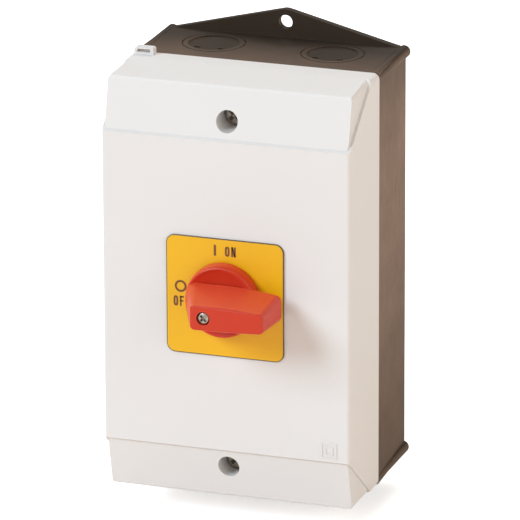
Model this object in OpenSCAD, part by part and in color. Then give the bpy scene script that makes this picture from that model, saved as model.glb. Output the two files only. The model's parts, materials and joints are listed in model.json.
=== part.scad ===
// Surface-mounted rotary isolator in an insulated enclosure, 0-90 degree handle.
// Millimetres. The origin is the centre of the wall face. +X is to the right and
// +Z is up. The front looks along -Y.
// Modules are drawn as seen from the front: x to the right, y up, z out from the
// wall. facing() then turns them into the object's own frame.

/* [Enclosure] */
// Width over the rim of the cover
case_w = 101.2; // [90:0.1:130]
// Height over the rim of the cover, without the fixing lugs
case_h = 169.8; // [150:0.1:210]
// Depth of the base, from the wall to the joint with the cover
base_d = 40; // [36:0.5:60]
// Depth of the cover, from the joint to its flat front
cover_d = 37; // [30:0.5:50]
// Wall thickness of the base
wall_t = 2.5; // [2:0.1:3.5]
// Thickness of the back of the base
back_t = 3; // [2.5:0.1:4]
// How much each side wall leans in from the joint to the wall face
side_draft = 1.5; // [0:0.1:3]
// Radius of the round bead along each corner of the base
bead_r = 2.5; // [1.5:0.1:3.5]

/* [Fixing lugs] */
// Thickness of the two lugs
lug_t = 3; // [2:0.1:5]
// Height of the hole centre above the end wall
lug_hole_y = 6.3; // [5:0.1:10]
// Diameter of the fixing hole
lug_hole_d = 5.6; // [4:0.1:6.5]
// Radius of the rounded tip of the lug
lug_tip_r = 5.2; // [4.2:0.1:7]

/* [Cable entries] */
// Distance between the two entries of one end wall
entry_pitch = 49; // [34:0.5:54]
// Diameter of the large knockout
entry_d = 25.5; // [20:0.1:28]
// Diameter of the small knockout inside it
entry_small_d = 20.5; // [12:0.1:21]
// Height of the entries above the wall
entry_z = 18.5; // [17.5:0.1:22]
// Depth of the thinned ring round a knockout
entry_groove = 0.6; // [0.3:0.1:1.2]

/* [Cover] */
// Height of the flat front zone between the two sloping ends
front_h = 126; // [110:0.5:146]
// Depth of the full-size band behind the sloping ends
band_d = 8.5; // [6:0.5:12]
// Set-back of the sloping ends behind the middle zone
end_step = 1; // [0.5:0.1:1.5]
// How far an end slopes back from the middle zone to its ridge
end_slope = 4.6; // [2:0.1:7]
// Thickness of the front wall
front_t = 2.8; // [2.4:0.1:4]
// Distance from the centre to each cover screw
screw_y = 70.6; // [66:0.1:76]
// Diameter of the screw wells
well_d = 8.8; // [8.6:0.1:11]
// How far the screw heads lie behind the flat front zone
well_depth = 12; // [8:0.5:22]
// Thread diameter of the cover screws
screw_d = 4; // [3:0.1:4.5]

/* [Front plate] */
// Side of the square front plate
plate_w = 48; // [44:0.5:60]
// Corner radius of the front plate
plate_r = 3.5; // [2:0.1:6]
// Thickness of the front plate with its frame
plate_t = 0.8; // [0.8:0.1:2]

/* [Handle] */
// Height of the handle over the front plate
knob_h = 26; // [20:0.2:32]
// Diameter of the handle's round foot
knob_d = 29.6; // [27:0.2:36]
// Reach of the grip from the axis to the end of its long side
grip_long = 24.2; // [20:0.2:28]
// Reach of the grip from the axis to its short end
grip_short = 5.6; // [5:0.1:8]
// Width of the grip over the axis, at its front face
grip_w = 10; // [8:0.1:12]

/* [Switch] */
// Side of the square switch body
body_w = 44; // [42:0.5:50]
// Height of one contact deck
deck_h = 12; // [10:0.2:13]
// Across flats of the drive shaft
shaft_af = 6; // [5:0.1:6.4]
// Travel of the contact bridges
contact_lift = 3; // [2:0.1:3.2]
// Outer radius of the cams
cam_r = 9.5; // [9:0.1:9.8]
// Height of the latch housing
latch_h = 10; // [9:0.5:10.5]
// Radius of the latch star
star_r = 9; // [8.5:0.1:9.5]

/* [Fits] */
// Radial clearance of turning fits
run_fit = 0.04; // [0.02:0.01:0.08]
// Clearance of parts that slide or plug together
plug_fit = 0.05; // [0.02:0.01:0.1]
// Free gap between moving parts that must not touch
free_gap = 0.3; // [0.2:0.05:0.35]

/* [Hidden] */
$fn = 64;
eps = 0.01;
deck_count = 3;

// Levels above the wall
joint_gap = 0.2;
base_top = base_d - joint_gap;
front_z = base_d + cover_d;
boss_h = 5;
boss_r = 4;
plate_z = back_t + boss_h;
mount_t = 1.5;
foot_z = plate_z + mount_t;
foot_t = 4;
deck_z = foot_z + foot_t;
latch_z = deck_z + deck_count * deck_h;
latch_cover_t = 2;
latch_top = latch_z + latch_h;
plate_top = front_z + plate_t;
knob_z = plate_top + 0.4;
knob_top = plate_top + knob_h;

// Half sizes of the enclosure
hw = case_w / 2;
hh = case_h / 2;
joint_step = 0.4;
base_hw = hw - joint_step;
rear_hw = base_hw - side_draft;
base_hh = hh - joint_step;
rim_r = 2.5;

// Joint between base and cover
tongue_in = 1.4;
tongue_t = 1.2;
tongue_h = 2.6;
groove_side = 0.4;
groove_d = 4;
rim_depth = 6;
rim_t = 4.6;

// Cover
front_hh = front_h / 2;
cap_hw = hw - end_step;
cap_hh = hh - end_step;
cap_z = front_z - end_step;
ridge_z = cap_z - end_slope;
ridge_r = 1;
edge_r = 1.4;
cover_wall = 3.4;
well_floor_z = base_d + groove_d;
screw_head_h = 2.9;
screw_seat_z = front_z - well_depth - screw_head_h;
well_wall = 2;
post_r = screw_d / 2 + 2.5;
screw_end_z = well_floor_z - 11;
retainer_t = 1;

// Front bearing
bush_bore_r = 5;
bush_r = 8;
bush_flange_r = 10;
bush_flange_t = 1.2;
bush_len = 9;
bush_rear_z = front_z - bush_len;
washer_t = 1;
nut_t = 3;
nut_af = 22;
tang_af = 7;
tang_len = 6.4;
tang_z = plate_top + bush_flange_t + 0.4;
socket_z = latch_top + 1.7;
socket_depth = 8.8;
socket_r = shaft_af * 0.75 + 2.3;
knob_screw_r = 1.5;
knob_head_r = 2.3;
knob_head_h = 2;
knob_head_top = knob_top - 0.5;
seal_z = front_z - 1.4;
seal_h = 2;
seal_r = bush_bore_r + 1.2;

// Shape of the handle
foot_h = 4.1;
foot_edge = 0.4;
tier_r = knob_d / 2 - 0.5;
tier_h = 1.5;
grip_z = knob_z + foot_h + tier_h;
grip_root = 8.6;
grip_round = 1.1;
grip_corner = 1.6;
dial_z = knob_z + 4.2;
dial_r = tier_r - 1;
root_w = grip_w + 4.2;

// Switch
half = body_w / 2;
body_r = 3;
shaft_end_z = socket_z + socket_depth - 0.4;
rear_journal_r = shaft_af / 2 - 0.2;
front_journal_r = shaft_af * 0.75;
journal_over = 0.6;
floor_t = 2;
shaft_pass_r = front_journal_r + 0.1;
cam_t = 4;
hub_r = cam_r - contact_lift - free_gap;
nose_r = 1.5;
nose_x = cam_r + free_gap;
slider_len = 7;
slider_w = 5.2;
slider_h = 6.8;
bridge_x = nose_x + 2.8;
bridge_t = 1.6;
bridge_w = 5;
bridge_len = 28;
pad_y = 11.5;
pad_r = 1.7;
pad_t = 0.8;
touch_gap = 0.2;
strip_t = 1.2;
strip_w = 6;
strip_x = bridge_x - contact_lift - touch_gap - 2 * pad_t - strip_t;
strip_y0 = cam_r + 0.3;
terminal_y = half + 4;
terminal_end = half + 8;
clamp_gap = 2.4;
clamp_w = 6.4;
clamp_t = 1;
terminal_screw_r = 1.6;
terminal_head_r = 2.9;
spring_r = 2;
wire_d = 0.5;
spring_turns = 5;
pocket_end = half - 1;
slider_end_x = nose_x + slider_len;
bolt_r = 1.5;
bolt_head_r = 2.8;
head_h = 2.2;
bolt_xy = half - 4;
small_nut_r = 3.1;
small_nut_h = 2.4;
plate_hole_x = 20;
plate_hole_y = half + 10;
plate_screw_r = 1.6;
plate_head_r = 3;
notch_r = 2.2;
notch_x = star_r + 1;
leaf_y = notch_x + 3.2;
leaf_t = 0.6;

// Earth and neutral terminals, below the switch on the left and on the right
link_x = hw - 17.6;
link_y = -(hh - 26.9);
link_w = 18;
link_h = 9;
link_d = 8;
link_z = back_t + 9;
link_screw_x = 4.6;
link_screw_r = 1.6;
link_head_r = 2.7;
link_wire_r = 1.9;

// Small sealing loop at the upper left corner of the cover
clip_w = 8;
clip_h = 2.8;
clip_t = 3.6;
clip_x = -(hw - 5.95);
clip_z = base_d + 0.5;
clip_r = 1;
clip_leg = 1.3;
clip_sill = 0.9;
clip_roof = 0.6;

BASE = "#4b413b";
COVER = "#e6e1dc";
YELLOW = "#f2bd2c";
RED = "#d64530";
BLACK = "#26231f";
STEEL = "#b9bcc0";
BRASS = "#c9a24a";
COPPER = "#c77b4a";
GREY = "#8d8a86";
IVORY = "#d8cfb8";

// Turns a front-view drawing into the object's frame
module facing() {
    rotate([90, 0, 0]) children();
}

// Draws a (y, z) outline as a bar of length len along x
module along_x(len) {
    rotate([90, 0, 90]) translate([0, 0, -len / 2]) linear_extrude(len) children();
}

// Draws an (x, z) outline as a bar of length len along y
module along_y(len) {
    rotate([90, 0, 0]) translate([0, 0, -len / 2]) linear_extrude(len) children();
}

module round_rect(w, h, r) {
    square([w - 2 * r, h], center = true);
    square([w, h - 2 * r], center = true);
    for (x = [-1, 1], y = [-1, 1])
        translate([x * (w / 2 - r), y * (h / 2 - r)]) circle(r);
}

// Ring that follows the rim of the enclosure, from inset a to inset a + t
module rim_ring(a, t, z, h) {
    translate([0, 0, z]) linear_extrude(h) difference() {
        round_rect(case_w - 2 * a, case_h - 2 * a, rim_r);
        round_rect(case_w - 2 * (a + t), case_h - 2 * (a + t), rim_r);
    }
}

module tube(r, bore, z, h) {
    translate([0, 0, z]) difference() {
        cylinder(r = r, h = h);
        translate([0, 0, -eps]) cylinder(r = bore, h = h + 2 * eps);
    }
}

module rod(r, z0, z1) {
    translate([0, 0, z0]) cylinder(r = r, h = z1 - z0);
}

module square_rod(af, z0, z1) {
    translate([-af / 2, -af / 2, z0]) cube([af, af, z1 - z0]);
}

// A block given by its three ranges
module block(x, y, z) {
    translate([x[0], y[0], z[0]]) cube([x[1] - x[0], y[1] - y[0], z[1] - z[0]]);
}

module screw_cross(r, top, depth) {
    for (a = [45, 135]) rotate([0, 0, a])
        block([-r * 0.7, r * 0.7], [-r * 0.19, r * 0.19], [top - depth, top + eps]);
}

module pan_screw(r, head_r, z0, z1, head_h) {
    difference() {
        union() {
            rod(r, z0, z1);
            rod(head_r, z1, z1 + head_h);
        }
        screw_cross(head_r, z1 + head_h, head_h * 0.6);
    }
}

// ---- base ----

function side_x(z) = rear_hw + (base_hw - rear_hw) * z / base_top;

module base_outer() {
    along_y(2 * base_hh)
        polygon([[-rear_hw, 0], [rear_hw, 0], [base_hw, base_top], [-base_hw, base_top]]);
}

module base_cavity() {
    low = side_x(back_t) - wall_t;
    high = side_x(base_d + 1) - wall_t;
    along_y(2 * (base_hh - wall_t))
        polygon([[-low, back_t], [low, back_t], [high, base_d + 1], [-high, base_d + 1]]);
}

module corner_beads() {
    for (x = [-1, 1], y = [-1, 1])
        translate([x * (hw - bead_r), y * (hh - bead_r), 0]) rod(bead_r, 0, base_top);
}

// Triangular lug whose straight sides run off the rounded tip as tangents
module lug_outline() {
    foot = rear_hw - 2;
    reach = sqrt(foot * foot + lug_hole_y * lug_hole_y);
    lean = atan(lug_hole_y / foot) + asin(lug_tip_r / reach);
    touch = [lug_tip_r * sin(lean), lug_hole_y + lug_tip_r * cos(lean)];
    translate([0, lug_hole_y]) circle(lug_tip_r);
    polygon([[-foot, 0], [-foot, -wall_t], [foot, -wall_t], [foot, 0],
             touch, [-touch[0], touch[1]]]);
}

module fixing_lug() {
    translate([0, base_hh, 0]) linear_extrude(lug_t) difference() {
        lug_outline();
        translate([0, lug_hole_y]) circle(lug_hole_d / 2);
    }
}

// Two thinned rings and two breaking ribs on the upper end wall
module entry_cuts() {
    for (x = [-1, 1]) translate([x * entry_pitch / 2, base_hh, entry_z]) rotate([90, 0, 0]) {
        difference() {
            rod(entry_d / 2, -1, entry_groove);
            rod(entry_d / 2 - 0.6, -2, entry_groove + 1);
        }
        rod(entry_small_d / 2, -1, entry_groove);
    }
}

module entry_ribs() {
    rib_w = 2.4;
    rib_t = 0.9;
    for (x = [-1, 1], s = [-1, 1])
        translate([x * entry_pitch / 2 + s * 5, base_hh - wall_t / 2, entry_z + 6])
            cube([rib_w, wall_t - 0.2, rib_t], center = true);
}

module both_ends() {
    children();
    mirror([0, 1, 0]) children();
}

module base_posts() {
    for (y = [-1, 1]) translate([0, y * screw_y, 0])
        rod(post_r, back_t - eps, well_floor_z - joint_gap);
    for (x = [-1, 1], y = [-1, 1]) translate([x * plate_hole_x, y * plate_hole_y, 0])
        rod(boss_r, back_t - eps, plate_z);
    for (x = [-1, 1]) translate([x * link_x, link_y, 0])
        block([-link_w / 2, link_w / 2], [-link_h / 2, link_h / 2], [back_t - eps, link_z]);
}

module base_holes() {
    for (y = [-1, 1]) translate([0, y * screw_y, 0])
        rod(screw_d / 2 + run_fit, screw_end_z - 3, base_d + 6);
    for (x = [-1, 1], y = [-1, 1]) translate([x * plate_hole_x, y * plate_hole_y, 0])
        rod(plate_screw_r + run_fit, back_t - 1, plate_z + 1);
    for (x = [-1, 1], s = [-1, 1]) translate([x * link_x + s * link_screw_x, link_y, 0])
        rod(link_screw_r + run_fit, back_t, link_z + 1);
}

// Shallow fields in the wall face that leave a frame and a cross rib
module back_fields() {
    frame_w = 9;
    field_d = 0.8;
    for (x = [-1, 1], y = [-1, 1])
        translate([x * rear_hw / 2, y * base_hh / 2, -eps]) linear_extrude(field_d + eps)
            round_rect(rear_hw - frame_w, base_hh - frame_w, 3);
}

module base_housing() {
    color(BASE) facing() base_body();
}

module base_body() {
    both_ends() entry_ribs();
    difference() {
        union() {
            difference() {
                base_outer();
                base_cavity();
            }
            rim_ring(tongue_in, tongue_t, base_top - 1, tongue_h + 1);
            corner_beads();
            both_ends() fixing_lug();
            base_posts();
            both_ends() entry_floor();
        }
        both_ends() entry_cuts();
        base_holes();
        back_fields();
    }
}

// Keeps the wall at full thickness behind the knockouts
module entry_floor() {
    for (x = [-1, 1]) translate([x * entry_pitch / 2, base_hh - 1, entry_z])
        rotate([90, 0, 0]) rod(entry_d / 2 + 1.5, 0, wall_t);
}

// ---- switch mounting ----

module mounting_plate() {
    color(STEEL) facing() difference() {
        translate([0, 0, plate_z]) linear_extrude(mount_t)
            round_rect(2 * plate_hole_x + 12, 2 * plate_hole_y + 12, 3);
        for (x = [-1, 1], y = [-1, 1]) translate([x * plate_hole_x, y * plate_hole_y, 0])
            rod(plate_screw_r + 0.2, plate_z - 1, foot_z + 1);
        for (s = [-1, 1]) translate([s * bolt_xy, -s * bolt_xy, 0])
            rod(bolt_r + run_fit, plate_z - 1, foot_z + 1);
    }
}

module plate_screws() {
    color(STEEL) facing() for (x = [-1, 1], y = [-1, 1])
        translate([x * plate_hole_x, y * plate_hole_y, 0])
            pan_screw(plate_screw_r, plate_head_r, back_t + 0.4, foot_z, head_h);
}

module switch_foot() {
    color(GREY) facing() difference() {
        translate([0, 0, foot_z]) linear_extrude(foot_t) round_rect(body_w, body_w, body_r);
        rod(rear_journal_r + run_fit, foot_z - 1, deck_z + 1);
        bolt_holes(foot_z, deck_z);
    }
}

module bolt_holes(z0, z1) {
    for (s = [-1, 1]) translate([s * bolt_xy, -s * bolt_xy, 0])
        rod(bolt_r + 0.15, z0 - 1, z1 + 1);
}

// ---- contact decks ----

function deck_level(i) = deck_z + i * deck_h;

module deck_pockets(z) {
    top = z + deck_h + 1;
    low = z + floor_t;
    mid = low + slider_h / 2 + 0.6;
    rod(shaft_pass_r, z - 1, top);
    rod(cam_r + 0.8, low, top);
    block([0, pocket_end], [-slider_w / 2 - plug_fit, slider_w / 2 + plug_fit], [low, top]);
    block([bridge_x - contact_lift - 1.4, bridge_x + bridge_t + 0.8],
          [-bridge_len / 2 - 0.6, bridge_len / 2 + 0.6], [low, top]);
    for (y = [-1, 1]) flip_y(y) {
        block([strip_x - plug_fit, strip_x + strip_t + plug_fit],
              [strip_y0 - 0.6, half + 1], [mid - strip_w / 2 - plug_fit, top]);
        block([strip_x, bridge_x], [pad_y - pad_r - 0.5, pad_y + pad_r + 0.5], [low, top]);
    }
}

// Mirrors to the lower side when s is negative
module flip_y(s) {
    mirror([0, s < 0 ? 1 : 0, 0]) children();
}

module deck_housing(i) {
    z = deck_level(i);
    color(i == 1 ? GREY : BLACK) facing() difference() {
        union() {
            translate([0, 0, z]) linear_extrude(deck_h) round_rect(body_w, body_w, body_r);
            for (y = [-1, 1]) flip_y(y)
                block([strip_x - 5, strip_x + 10], [half - 1, terminal_end], [z, z + floor_t]);
            for (y = [-1, 1], x = [strip_x - 5, strip_x + 8.4]) flip_y(y)
                block([x, x + 1.6], [half - 1, half + 1.6], [z, z + deck_h]);
        }
        deck_pockets(z);
        bolt_holes(z, z + deck_h);
    }
}

function deck_mid(i) = deck_level(i) + floor_t + slider_h / 2 + 0.6;

module fixed_contacts(i) {
    z = deck_mid(i);
    color(COPPER) facing() for (y = [-1, 1]) flip_y(y) difference() {
        union() {
            block([strip_x, strip_x + strip_t], [strip_y0, terminal_end - 0.6],
                  [z - strip_w / 2, z + strip_w / 2]);
            translate([strip_x + strip_t - eps, pad_y, z]) rotate([0, 90, 0])
                rod(pad_r, 0, pad_t + eps);
        }
        translate([strip_x, terminal_y, z]) rotate([0, 90, 0])
            rod(terminal_screw_r + run_fit, -1, strip_t + 1);
    }
}

module contact_slider(i) {
    z = deck_mid(i);
    color(IVORY) facing() difference() {
        union() {
            translate([nose_x + nose_r, 0, 0]) rod(nose_r, z - slider_h / 2, z + slider_h / 2);
            block([nose_x + nose_r, slider_end_x], [-slider_w / 2, slider_w / 2],
                  [z - slider_h / 2, z + slider_h / 2]);
            translate([slider_end_x - eps, 0, z]) rotate([0, 90, 0]) rod(1.1, 0, 1.2);
        }
        block([bridge_x - plug_fit, bridge_x + bridge_t + plug_fit], [-half, half],
              [z - bridge_w / 2 - plug_fit, z + bridge_w / 2 + plug_fit]);
    }
}

module contact_bridge(i) {
    z = deck_mid(i);
    color(COPPER) facing() {
        block([bridge_x, bridge_x + bridge_t], [-bridge_len / 2, bridge_len / 2],
              [z - bridge_w / 2, z + bridge_w / 2]);
        for (y = [-1, 1]) translate([bridge_x - pad_t, y * pad_y, z]) rotate([0, 90, 0])
            rod(pad_r, 0, pad_t + eps);
    }
}

// Closed tube swept along a helix round the z axis
module coil(r, wire, len, turns) {
    sides = 6;
    rings = turns * 12;
    pitch = len / turns;
    points = [for (k = [0 : rings], s = [0 : sides - 1])
        let (a = 360 * k / 12, b = 360 * s / sides, q = r + wire / 2 * cos(b))
        [q * cos(a), q * sin(a), pitch * k / 12 + wire / 2 * sin(b)]];
    skin = [for (k = [0 : rings - 1], s = [0 : sides - 1])
        let (t = (s + 1) % sides)
        [k * sides + s, (k + 1) * sides + s, (k + 1) * sides + t, k * sides + t]];
    first = [for (s = [0 : sides - 1]) s];
    last = [for (s = [sides - 1 : -1 : 0]) rings * sides + s];
    polyhedron(points, concat(skin, [first], [last]), convexity = 8);
}

module contact_spring(i) {
    z = deck_mid(i);
    room = pocket_end - slider_end_x - wire_d - 0.1;
    color(STEEL) facing() translate([slider_end_x + wire_d / 2 + 0.05, 0, z]) rotate([0, 90, 0])
        coil(spring_r, wire_d, room, spring_turns);
}

// ---- terminals ----

module at_terminals() {
    for (i = [0 : deck_count - 1], y = [-1, 1])
        translate([strip_x, y * terminal_y, deck_mid(i)]) rotate([0, 90, 0]) children();
}

module terminal_clamps() {
    color(STEEL) facing() at_terminals() difference() {
        translate([0, 0, strip_t + clamp_gap]) linear_extrude(clamp_t)
            round_rect(clamp_w, clamp_w, 0.8);
        rod(terminal_screw_r + run_fit, 0, strip_t + clamp_gap + 2 * clamp_t);
    }
}

module terminal_screws() {
    color(STEEL) facing() at_terminals()
        pan_screw(terminal_screw_r, terminal_head_r, -2 * strip_t, strip_t + clamp_gap + clamp_t, 2);
}

module link_terminal(side) {
    facing() translate([side * link_x, link_y, 0]) difference() {
        block([-link_w / 2 + 0.6, link_w / 2 - 0.6], [-link_h / 2 + 0.4, link_h / 2 - 0.4],
              [link_z, link_z + link_d]);
        for (s = [-1, 1]) translate([s * link_screw_x, 0, 0]) {
            rod(link_screw_r + run_fit, link_z - 1, link_z + link_d + 1);
            translate([0, 0, link_z + link_d / 2]) rotate([90, 0, 0]) rod(link_wire_r, -link_h, link_h);
        }
    }
}

module earth_terminal() {
    color(BRASS) link_terminal(-1);
}

module neutral_terminal() {
    color(BRASS) link_terminal(1);
}

module link_screws() {
    color(STEEL) facing() for (x = [-1, 1], s = [-1, 1])
        translate([x * link_x + s * link_screw_x, link_y, 0])
            pan_screw(link_screw_r, link_head_r, back_t + 0.5, link_z + link_d, 1.8);
}

// ---- latch ----

module latch_housing() {
    wall = 2;
    color(BLACK) facing() difference() {
        translate([0, 0, latch_z]) linear_extrude(latch_h - latch_cover_t)
            round_rect(body_w, body_w, body_r);
        rod(shaft_pass_r, latch_z - 1, latch_top);
        rod(star_r + 0.6, latch_z + floor_t, latch_top);
        for (y = [-1, 1]) flip_y(y) {
            block([-half + wall + 2, half - wall - 2], [leaf_y - 2.4, leaf_y + leaf_t + 0.4],
                  [latch_z + floor_t, latch_top]);
            block([-notch_r - 1, notch_r + 1], [0, leaf_y], [latch_z + floor_t, latch_top]);
        }
        bolt_holes(latch_z, latch_top);
    }
}

module latch_cover() {
    color(GREY) facing() difference() {
        translate([0, 0, latch_top - latch_cover_t]) linear_extrude(latch_cover_t)
            round_rect(body_w, body_w, body_r);
        rod(front_journal_r + run_fit, latch_z, latch_top + 1);
        bolt_holes(latch_z, latch_top);
    }
}

// Leaf springs with a round nose that rests in the star's notch
module latch_springs() {
    color(STEEL) facing() for (y = [-1, 1]) flip_y(y)
        translate([0, 0, latch_z + floor_t + 0.8]) linear_extrude(3.8) {
            translate([0, notch_x]) circle(notch_r - free_gap);
            translate([-0.8, notch_x]) square([1.6, leaf_y - notch_x + leaf_t / 2]);
            translate([-half + 5, leaf_y]) square([body_w - 10, leaf_t]);
        }
}

module latch_star() {
    color(IVORY) facing() translate([0, 0, latch_z + floor_t + 0.4])
        linear_extrude(latch_h - latch_cover_t - floor_t - 0.8) difference() {
            circle(star_r);
            for (a = [0 : 90 : 270]) rotate(a) translate([notch_x, 0]) circle(notch_r);
            square(shaft_af + 2 * plug_fit, center = true);
        }
}

module switch_bolts() {
    color(STEEL) facing() for (s = [-1, 1]) translate([s * bolt_xy, -s * bolt_xy, 0])
        pan_screw(bolt_r, bolt_head_r, plate_z - small_nut_h - 0.6, latch_top, head_h);
}

module switch_nuts() {
    color(STEEL) facing() for (s = [-1, 1]) translate([s * bolt_xy, -s * bolt_xy, 0]) difference() {
        translate([0, 0, plate_z - small_nut_h]) cylinder(r = small_nut_r, h = small_nut_h, $fn = 6);
        rod(bolt_r + run_fit, plate_z - small_nut_h - 1, plate_z + 1);
    }
}

// ---- shaft and cams ----

module drive_shaft() {
    color(STEEL) facing() {
        rod(rear_journal_r, foot_z + 0.4, deck_z + 0.2);
        square_rod(shaft_af, deck_z + 0.2, shaft_end_z);
        rod(front_journal_r, latch_top - latch_cover_t - 0.3, latch_top + journal_over);
    }
}

// Cam radius at polar angle a: the quarter turn from 0 to 90 degrees falls evenly,
// so the slider moves in proportion to the handle
function cam_radius(a) =
    a < 90 ? cam_r - contact_lift * a / 90 :
    a < 120 ? cam_r - contact_lift :
    a < 165 ? cam_r - contact_lift * (165 - a) / 45 :
    cam_r;

module cam(i) {
    z = deck_mid(i);
    top = deck_level(i) + deck_h - 0.3;
    color(IVORY) facing() difference() {
        union() {
            translate([0, 0, z - cam_t / 2]) linear_extrude(cam_t)
                polygon([for (a = [0 : 3 : 357]) cam_radius(a) * [cos(a), sin(a)]]);
            rod(hub_r, deck_level(i) + floor_t + 0.3, top);
        }
        square_rod(shaft_af + 2 * plug_fit, deck_level(i), top + 1);
    }
}

// ---- cover ----

// Outline of the full-size middle zone and rear band, in (y, z)
module middle_outline() {
    band_z = base_d + band_d;
    polygon([[-hh, base_d], [hh, base_d], [hh, band_z], [front_hh, front_z],
             [-front_hh, front_z], [-hh, band_z]]);
}

// Outline of the set-back ends, with the ridge rounded, in (y, z)
module ends_outline() {
    slope = atan(end_slope / (cap_hh - front_hh));
    ridge = [for (a = [0 : 15 : 90]) let (t = a * (90 - slope) / 90)
        [cap_hh - ridge_r + ridge_r * cos(t), ridge_z - ridge_r + ridge_r * sin(t)]];
    band_z = base_d + band_d;
    polygon(concat([[hh, base_d], [hh, band_z]], ridge, [[front_hh, cap_z]],
                   [[-front_hh, cap_z]],
                   [for (k = [len(ridge) - 1 : -1 : 0]) [-ridge[k][0], ridge[k][1]]],
                   [[-hh, band_z], [-hh, base_d]]));
}

// (x, z) section with rounded front edges
module front_edges(w, top, r) {
    translate([-w / 2, base_d]) square([w, top - base_d - r]);
    translate([-w / 2 + r, base_d]) square([w - 2 * r, top - base_d]);
    for (x = [-1, 1]) translate([x * (w / 2 - r), top - r]) circle(r);
}

module cover_outer() {
    intersection() {
        along_x(case_w) middle_outline();
        along_y(case_h) front_edges(case_w, front_z, edge_r);
        translate([0, 0, base_d]) linear_extrude(cover_d) round_rect(case_w, case_h, rim_r);
    }
    intersection() {
        along_x(2 * cap_hw) ends_outline();
        along_y(case_h) front_edges(2 * cap_hw, cap_z, edge_r);
        translate([0, 0, base_d]) linear_extrude(cover_d) round_rect(2 * cap_hw, case_h, rim_r);
    }
}

module cover_cavity() {
    in_w = case_w - 2 * cover_wall;
    in_y = hh - cover_wall;
    shoulder_z = ridge_z - front_t;
    along_x(in_w) polygon([[-in_y, base_d - 1], [in_y, base_d - 1], [in_y, shoulder_z],
        [front_hh, cap_z - front_t], [front_hh - 2, front_z - front_t],
        [2 - front_hh, front_z - front_t], [-front_hh, cap_z - front_t],
        [-in_y, shoulder_z]]);
}

// Screw well, cut to the sloping front by the caller
module well_tubes() {
    intersection() {
        for (y = [-1, 1]) translate([0, y * screw_y, 0]) {
            rod(post_r, well_floor_z, front_z);
            rod(well_d / 2 + well_wall, screw_seat_z - 2.5, front_z);
        }
        along_x(case_w) ends_outline();
    }
}

module cover_holes() {
    for (y = [-1, 1]) translate([0, y * screw_y, 0]) {
        rod(well_d / 2, screw_seat_z, front_z + 1);
        rod(screw_d / 2 + 0.3, base_d, front_z);
        rod(screw_d / 2 + 1.5, base_d, well_floor_z + retainer_t + 0.2);
    }
    rod(bush_r + 0.1, base_d, front_z + 1);
}

// Double square that marks double insulation, raised from the front
module class_mark() {
    size = 6.5;
    line = 0.6;
    translate([hw - 8.4, -front_hh + 4.6, front_z - eps]) linear_extrude(0.3) {
        for (s = [size, size * 0.52]) difference() {
            square(s, center = true);
            square(s - 2 * line, center = true);
        }
    }
}

// Low loop on the upper face that a sealing wire passes through
module cover_clip() {
    slot_w = clip_w - 2 * clip_leg;
    translate([clip_x, hh, clip_z]) linear_extrude(clip_t) difference() {
        translate([0, clip_h / 2 - clip_r]) round_rect(clip_w, clip_h + 2 * clip_r, clip_r);
        translate([-slot_w / 2, clip_sill]) square([slot_w, clip_h - clip_sill - clip_roof]);
    }
}

module cover_shell() {
    color(COVER) facing() difference() {
        union() {
            difference() {
                cover_outer();
                cover_cavity();
            }
            rim_ring(tongue_in, rim_t - tongue_in, base_d, rim_depth);
            well_tubes();
            class_mark();
            cover_clip();
        }
        rim_ring(tongue_in - groove_side, tongue_t + 2 * groove_side, base_d - 1, groove_d + 1);
        cover_holes();
    }
}

module cover_gasket() {
    low = base_top + tongue_h + 0.05;
    color(BLACK) facing()
        rim_ring(tongue_in - groove_side + 0.05, tongue_t + 2 * groove_side - 0.1,
                 low, base_d + groove_d - low);
}

module screw_retainers() {
    color(BLACK) facing() for (y = [-1, 1]) translate([0, y * screw_y, 0])
        tube(screw_d / 2 + 1.4, screw_d / 2 + run_fit, well_floor_z + 0.1, retainer_t);
}

module cover_screw(side) {
    seat = screw_seat_z + 0.05;
    color(STEEL) facing() translate([0, side * screw_y, 0])
        pan_screw(screw_d / 2, well_d / 2 - 0.4, screw_end_z, seat, screw_head_h);
}

// ---- front plate and bearing ----

module plate_frame() {
    inset = 0.25;
    color(BLACK) facing() difference() {
        translate([0, 0, front_z]) linear_extrude(plate_t)
            round_rect(plate_w, plate_w, plate_r);
        translate([0, 0, front_z + plate_t * 0.4]) linear_extrude(plate_t)
            round_rect(plate_w - 2 * inset, plate_w - 2 * inset, plate_r - inset);
        rod(bush_r + 0.1, front_z - 1, plate_top + 1);
    }
}

module legend_plate() {
    inset = 0.3;
    color(YELLOW) facing() difference() {
        translate([0, 0, front_z + plate_t * 0.4]) linear_extrude(plate_t * 0.6)
            round_rect(plate_w - 2 * inset, plate_w - 2 * inset, plate_r - inset);
        rod(bush_r + 0.1, front_z - 1, plate_top + 1);
    }
}

module bearing_bush() {
    color(BLACK) facing() difference() {
        union() {
            rod(bush_r, bush_rear_z, plate_top);
            rod(bush_flange_r, plate_top, plate_top + bush_flange_t);
        }
        rod(bush_bore_r + run_fit, bush_rear_z - 1, plate_top + 5);
        rod(seal_r, seal_z, seal_z + seal_h);
    }
}

module bush_washer() {
    z = front_z - front_t - washer_t;
    color(STEEL) facing() tube(nut_af / 2, bush_r + 0.1, z, washer_t);
}

module bush_nut() {
    z = front_z - front_t - washer_t - nut_t;
    color(STEEL) facing() difference() {
        translate([0, 0, z]) cylinder(r = nut_af / sqrt(3), h = nut_t, $fn = 6);
        rod(bush_r + run_fit, z - 1, z + nut_t + 1);
    }
}

module shaft_seal() {
    color(BLACK) facing() tube(seal_r - 0.05, bush_bore_r + run_fit, seal_z + 0.1, seal_h - 0.2);
}

// ---- handle ----

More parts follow.
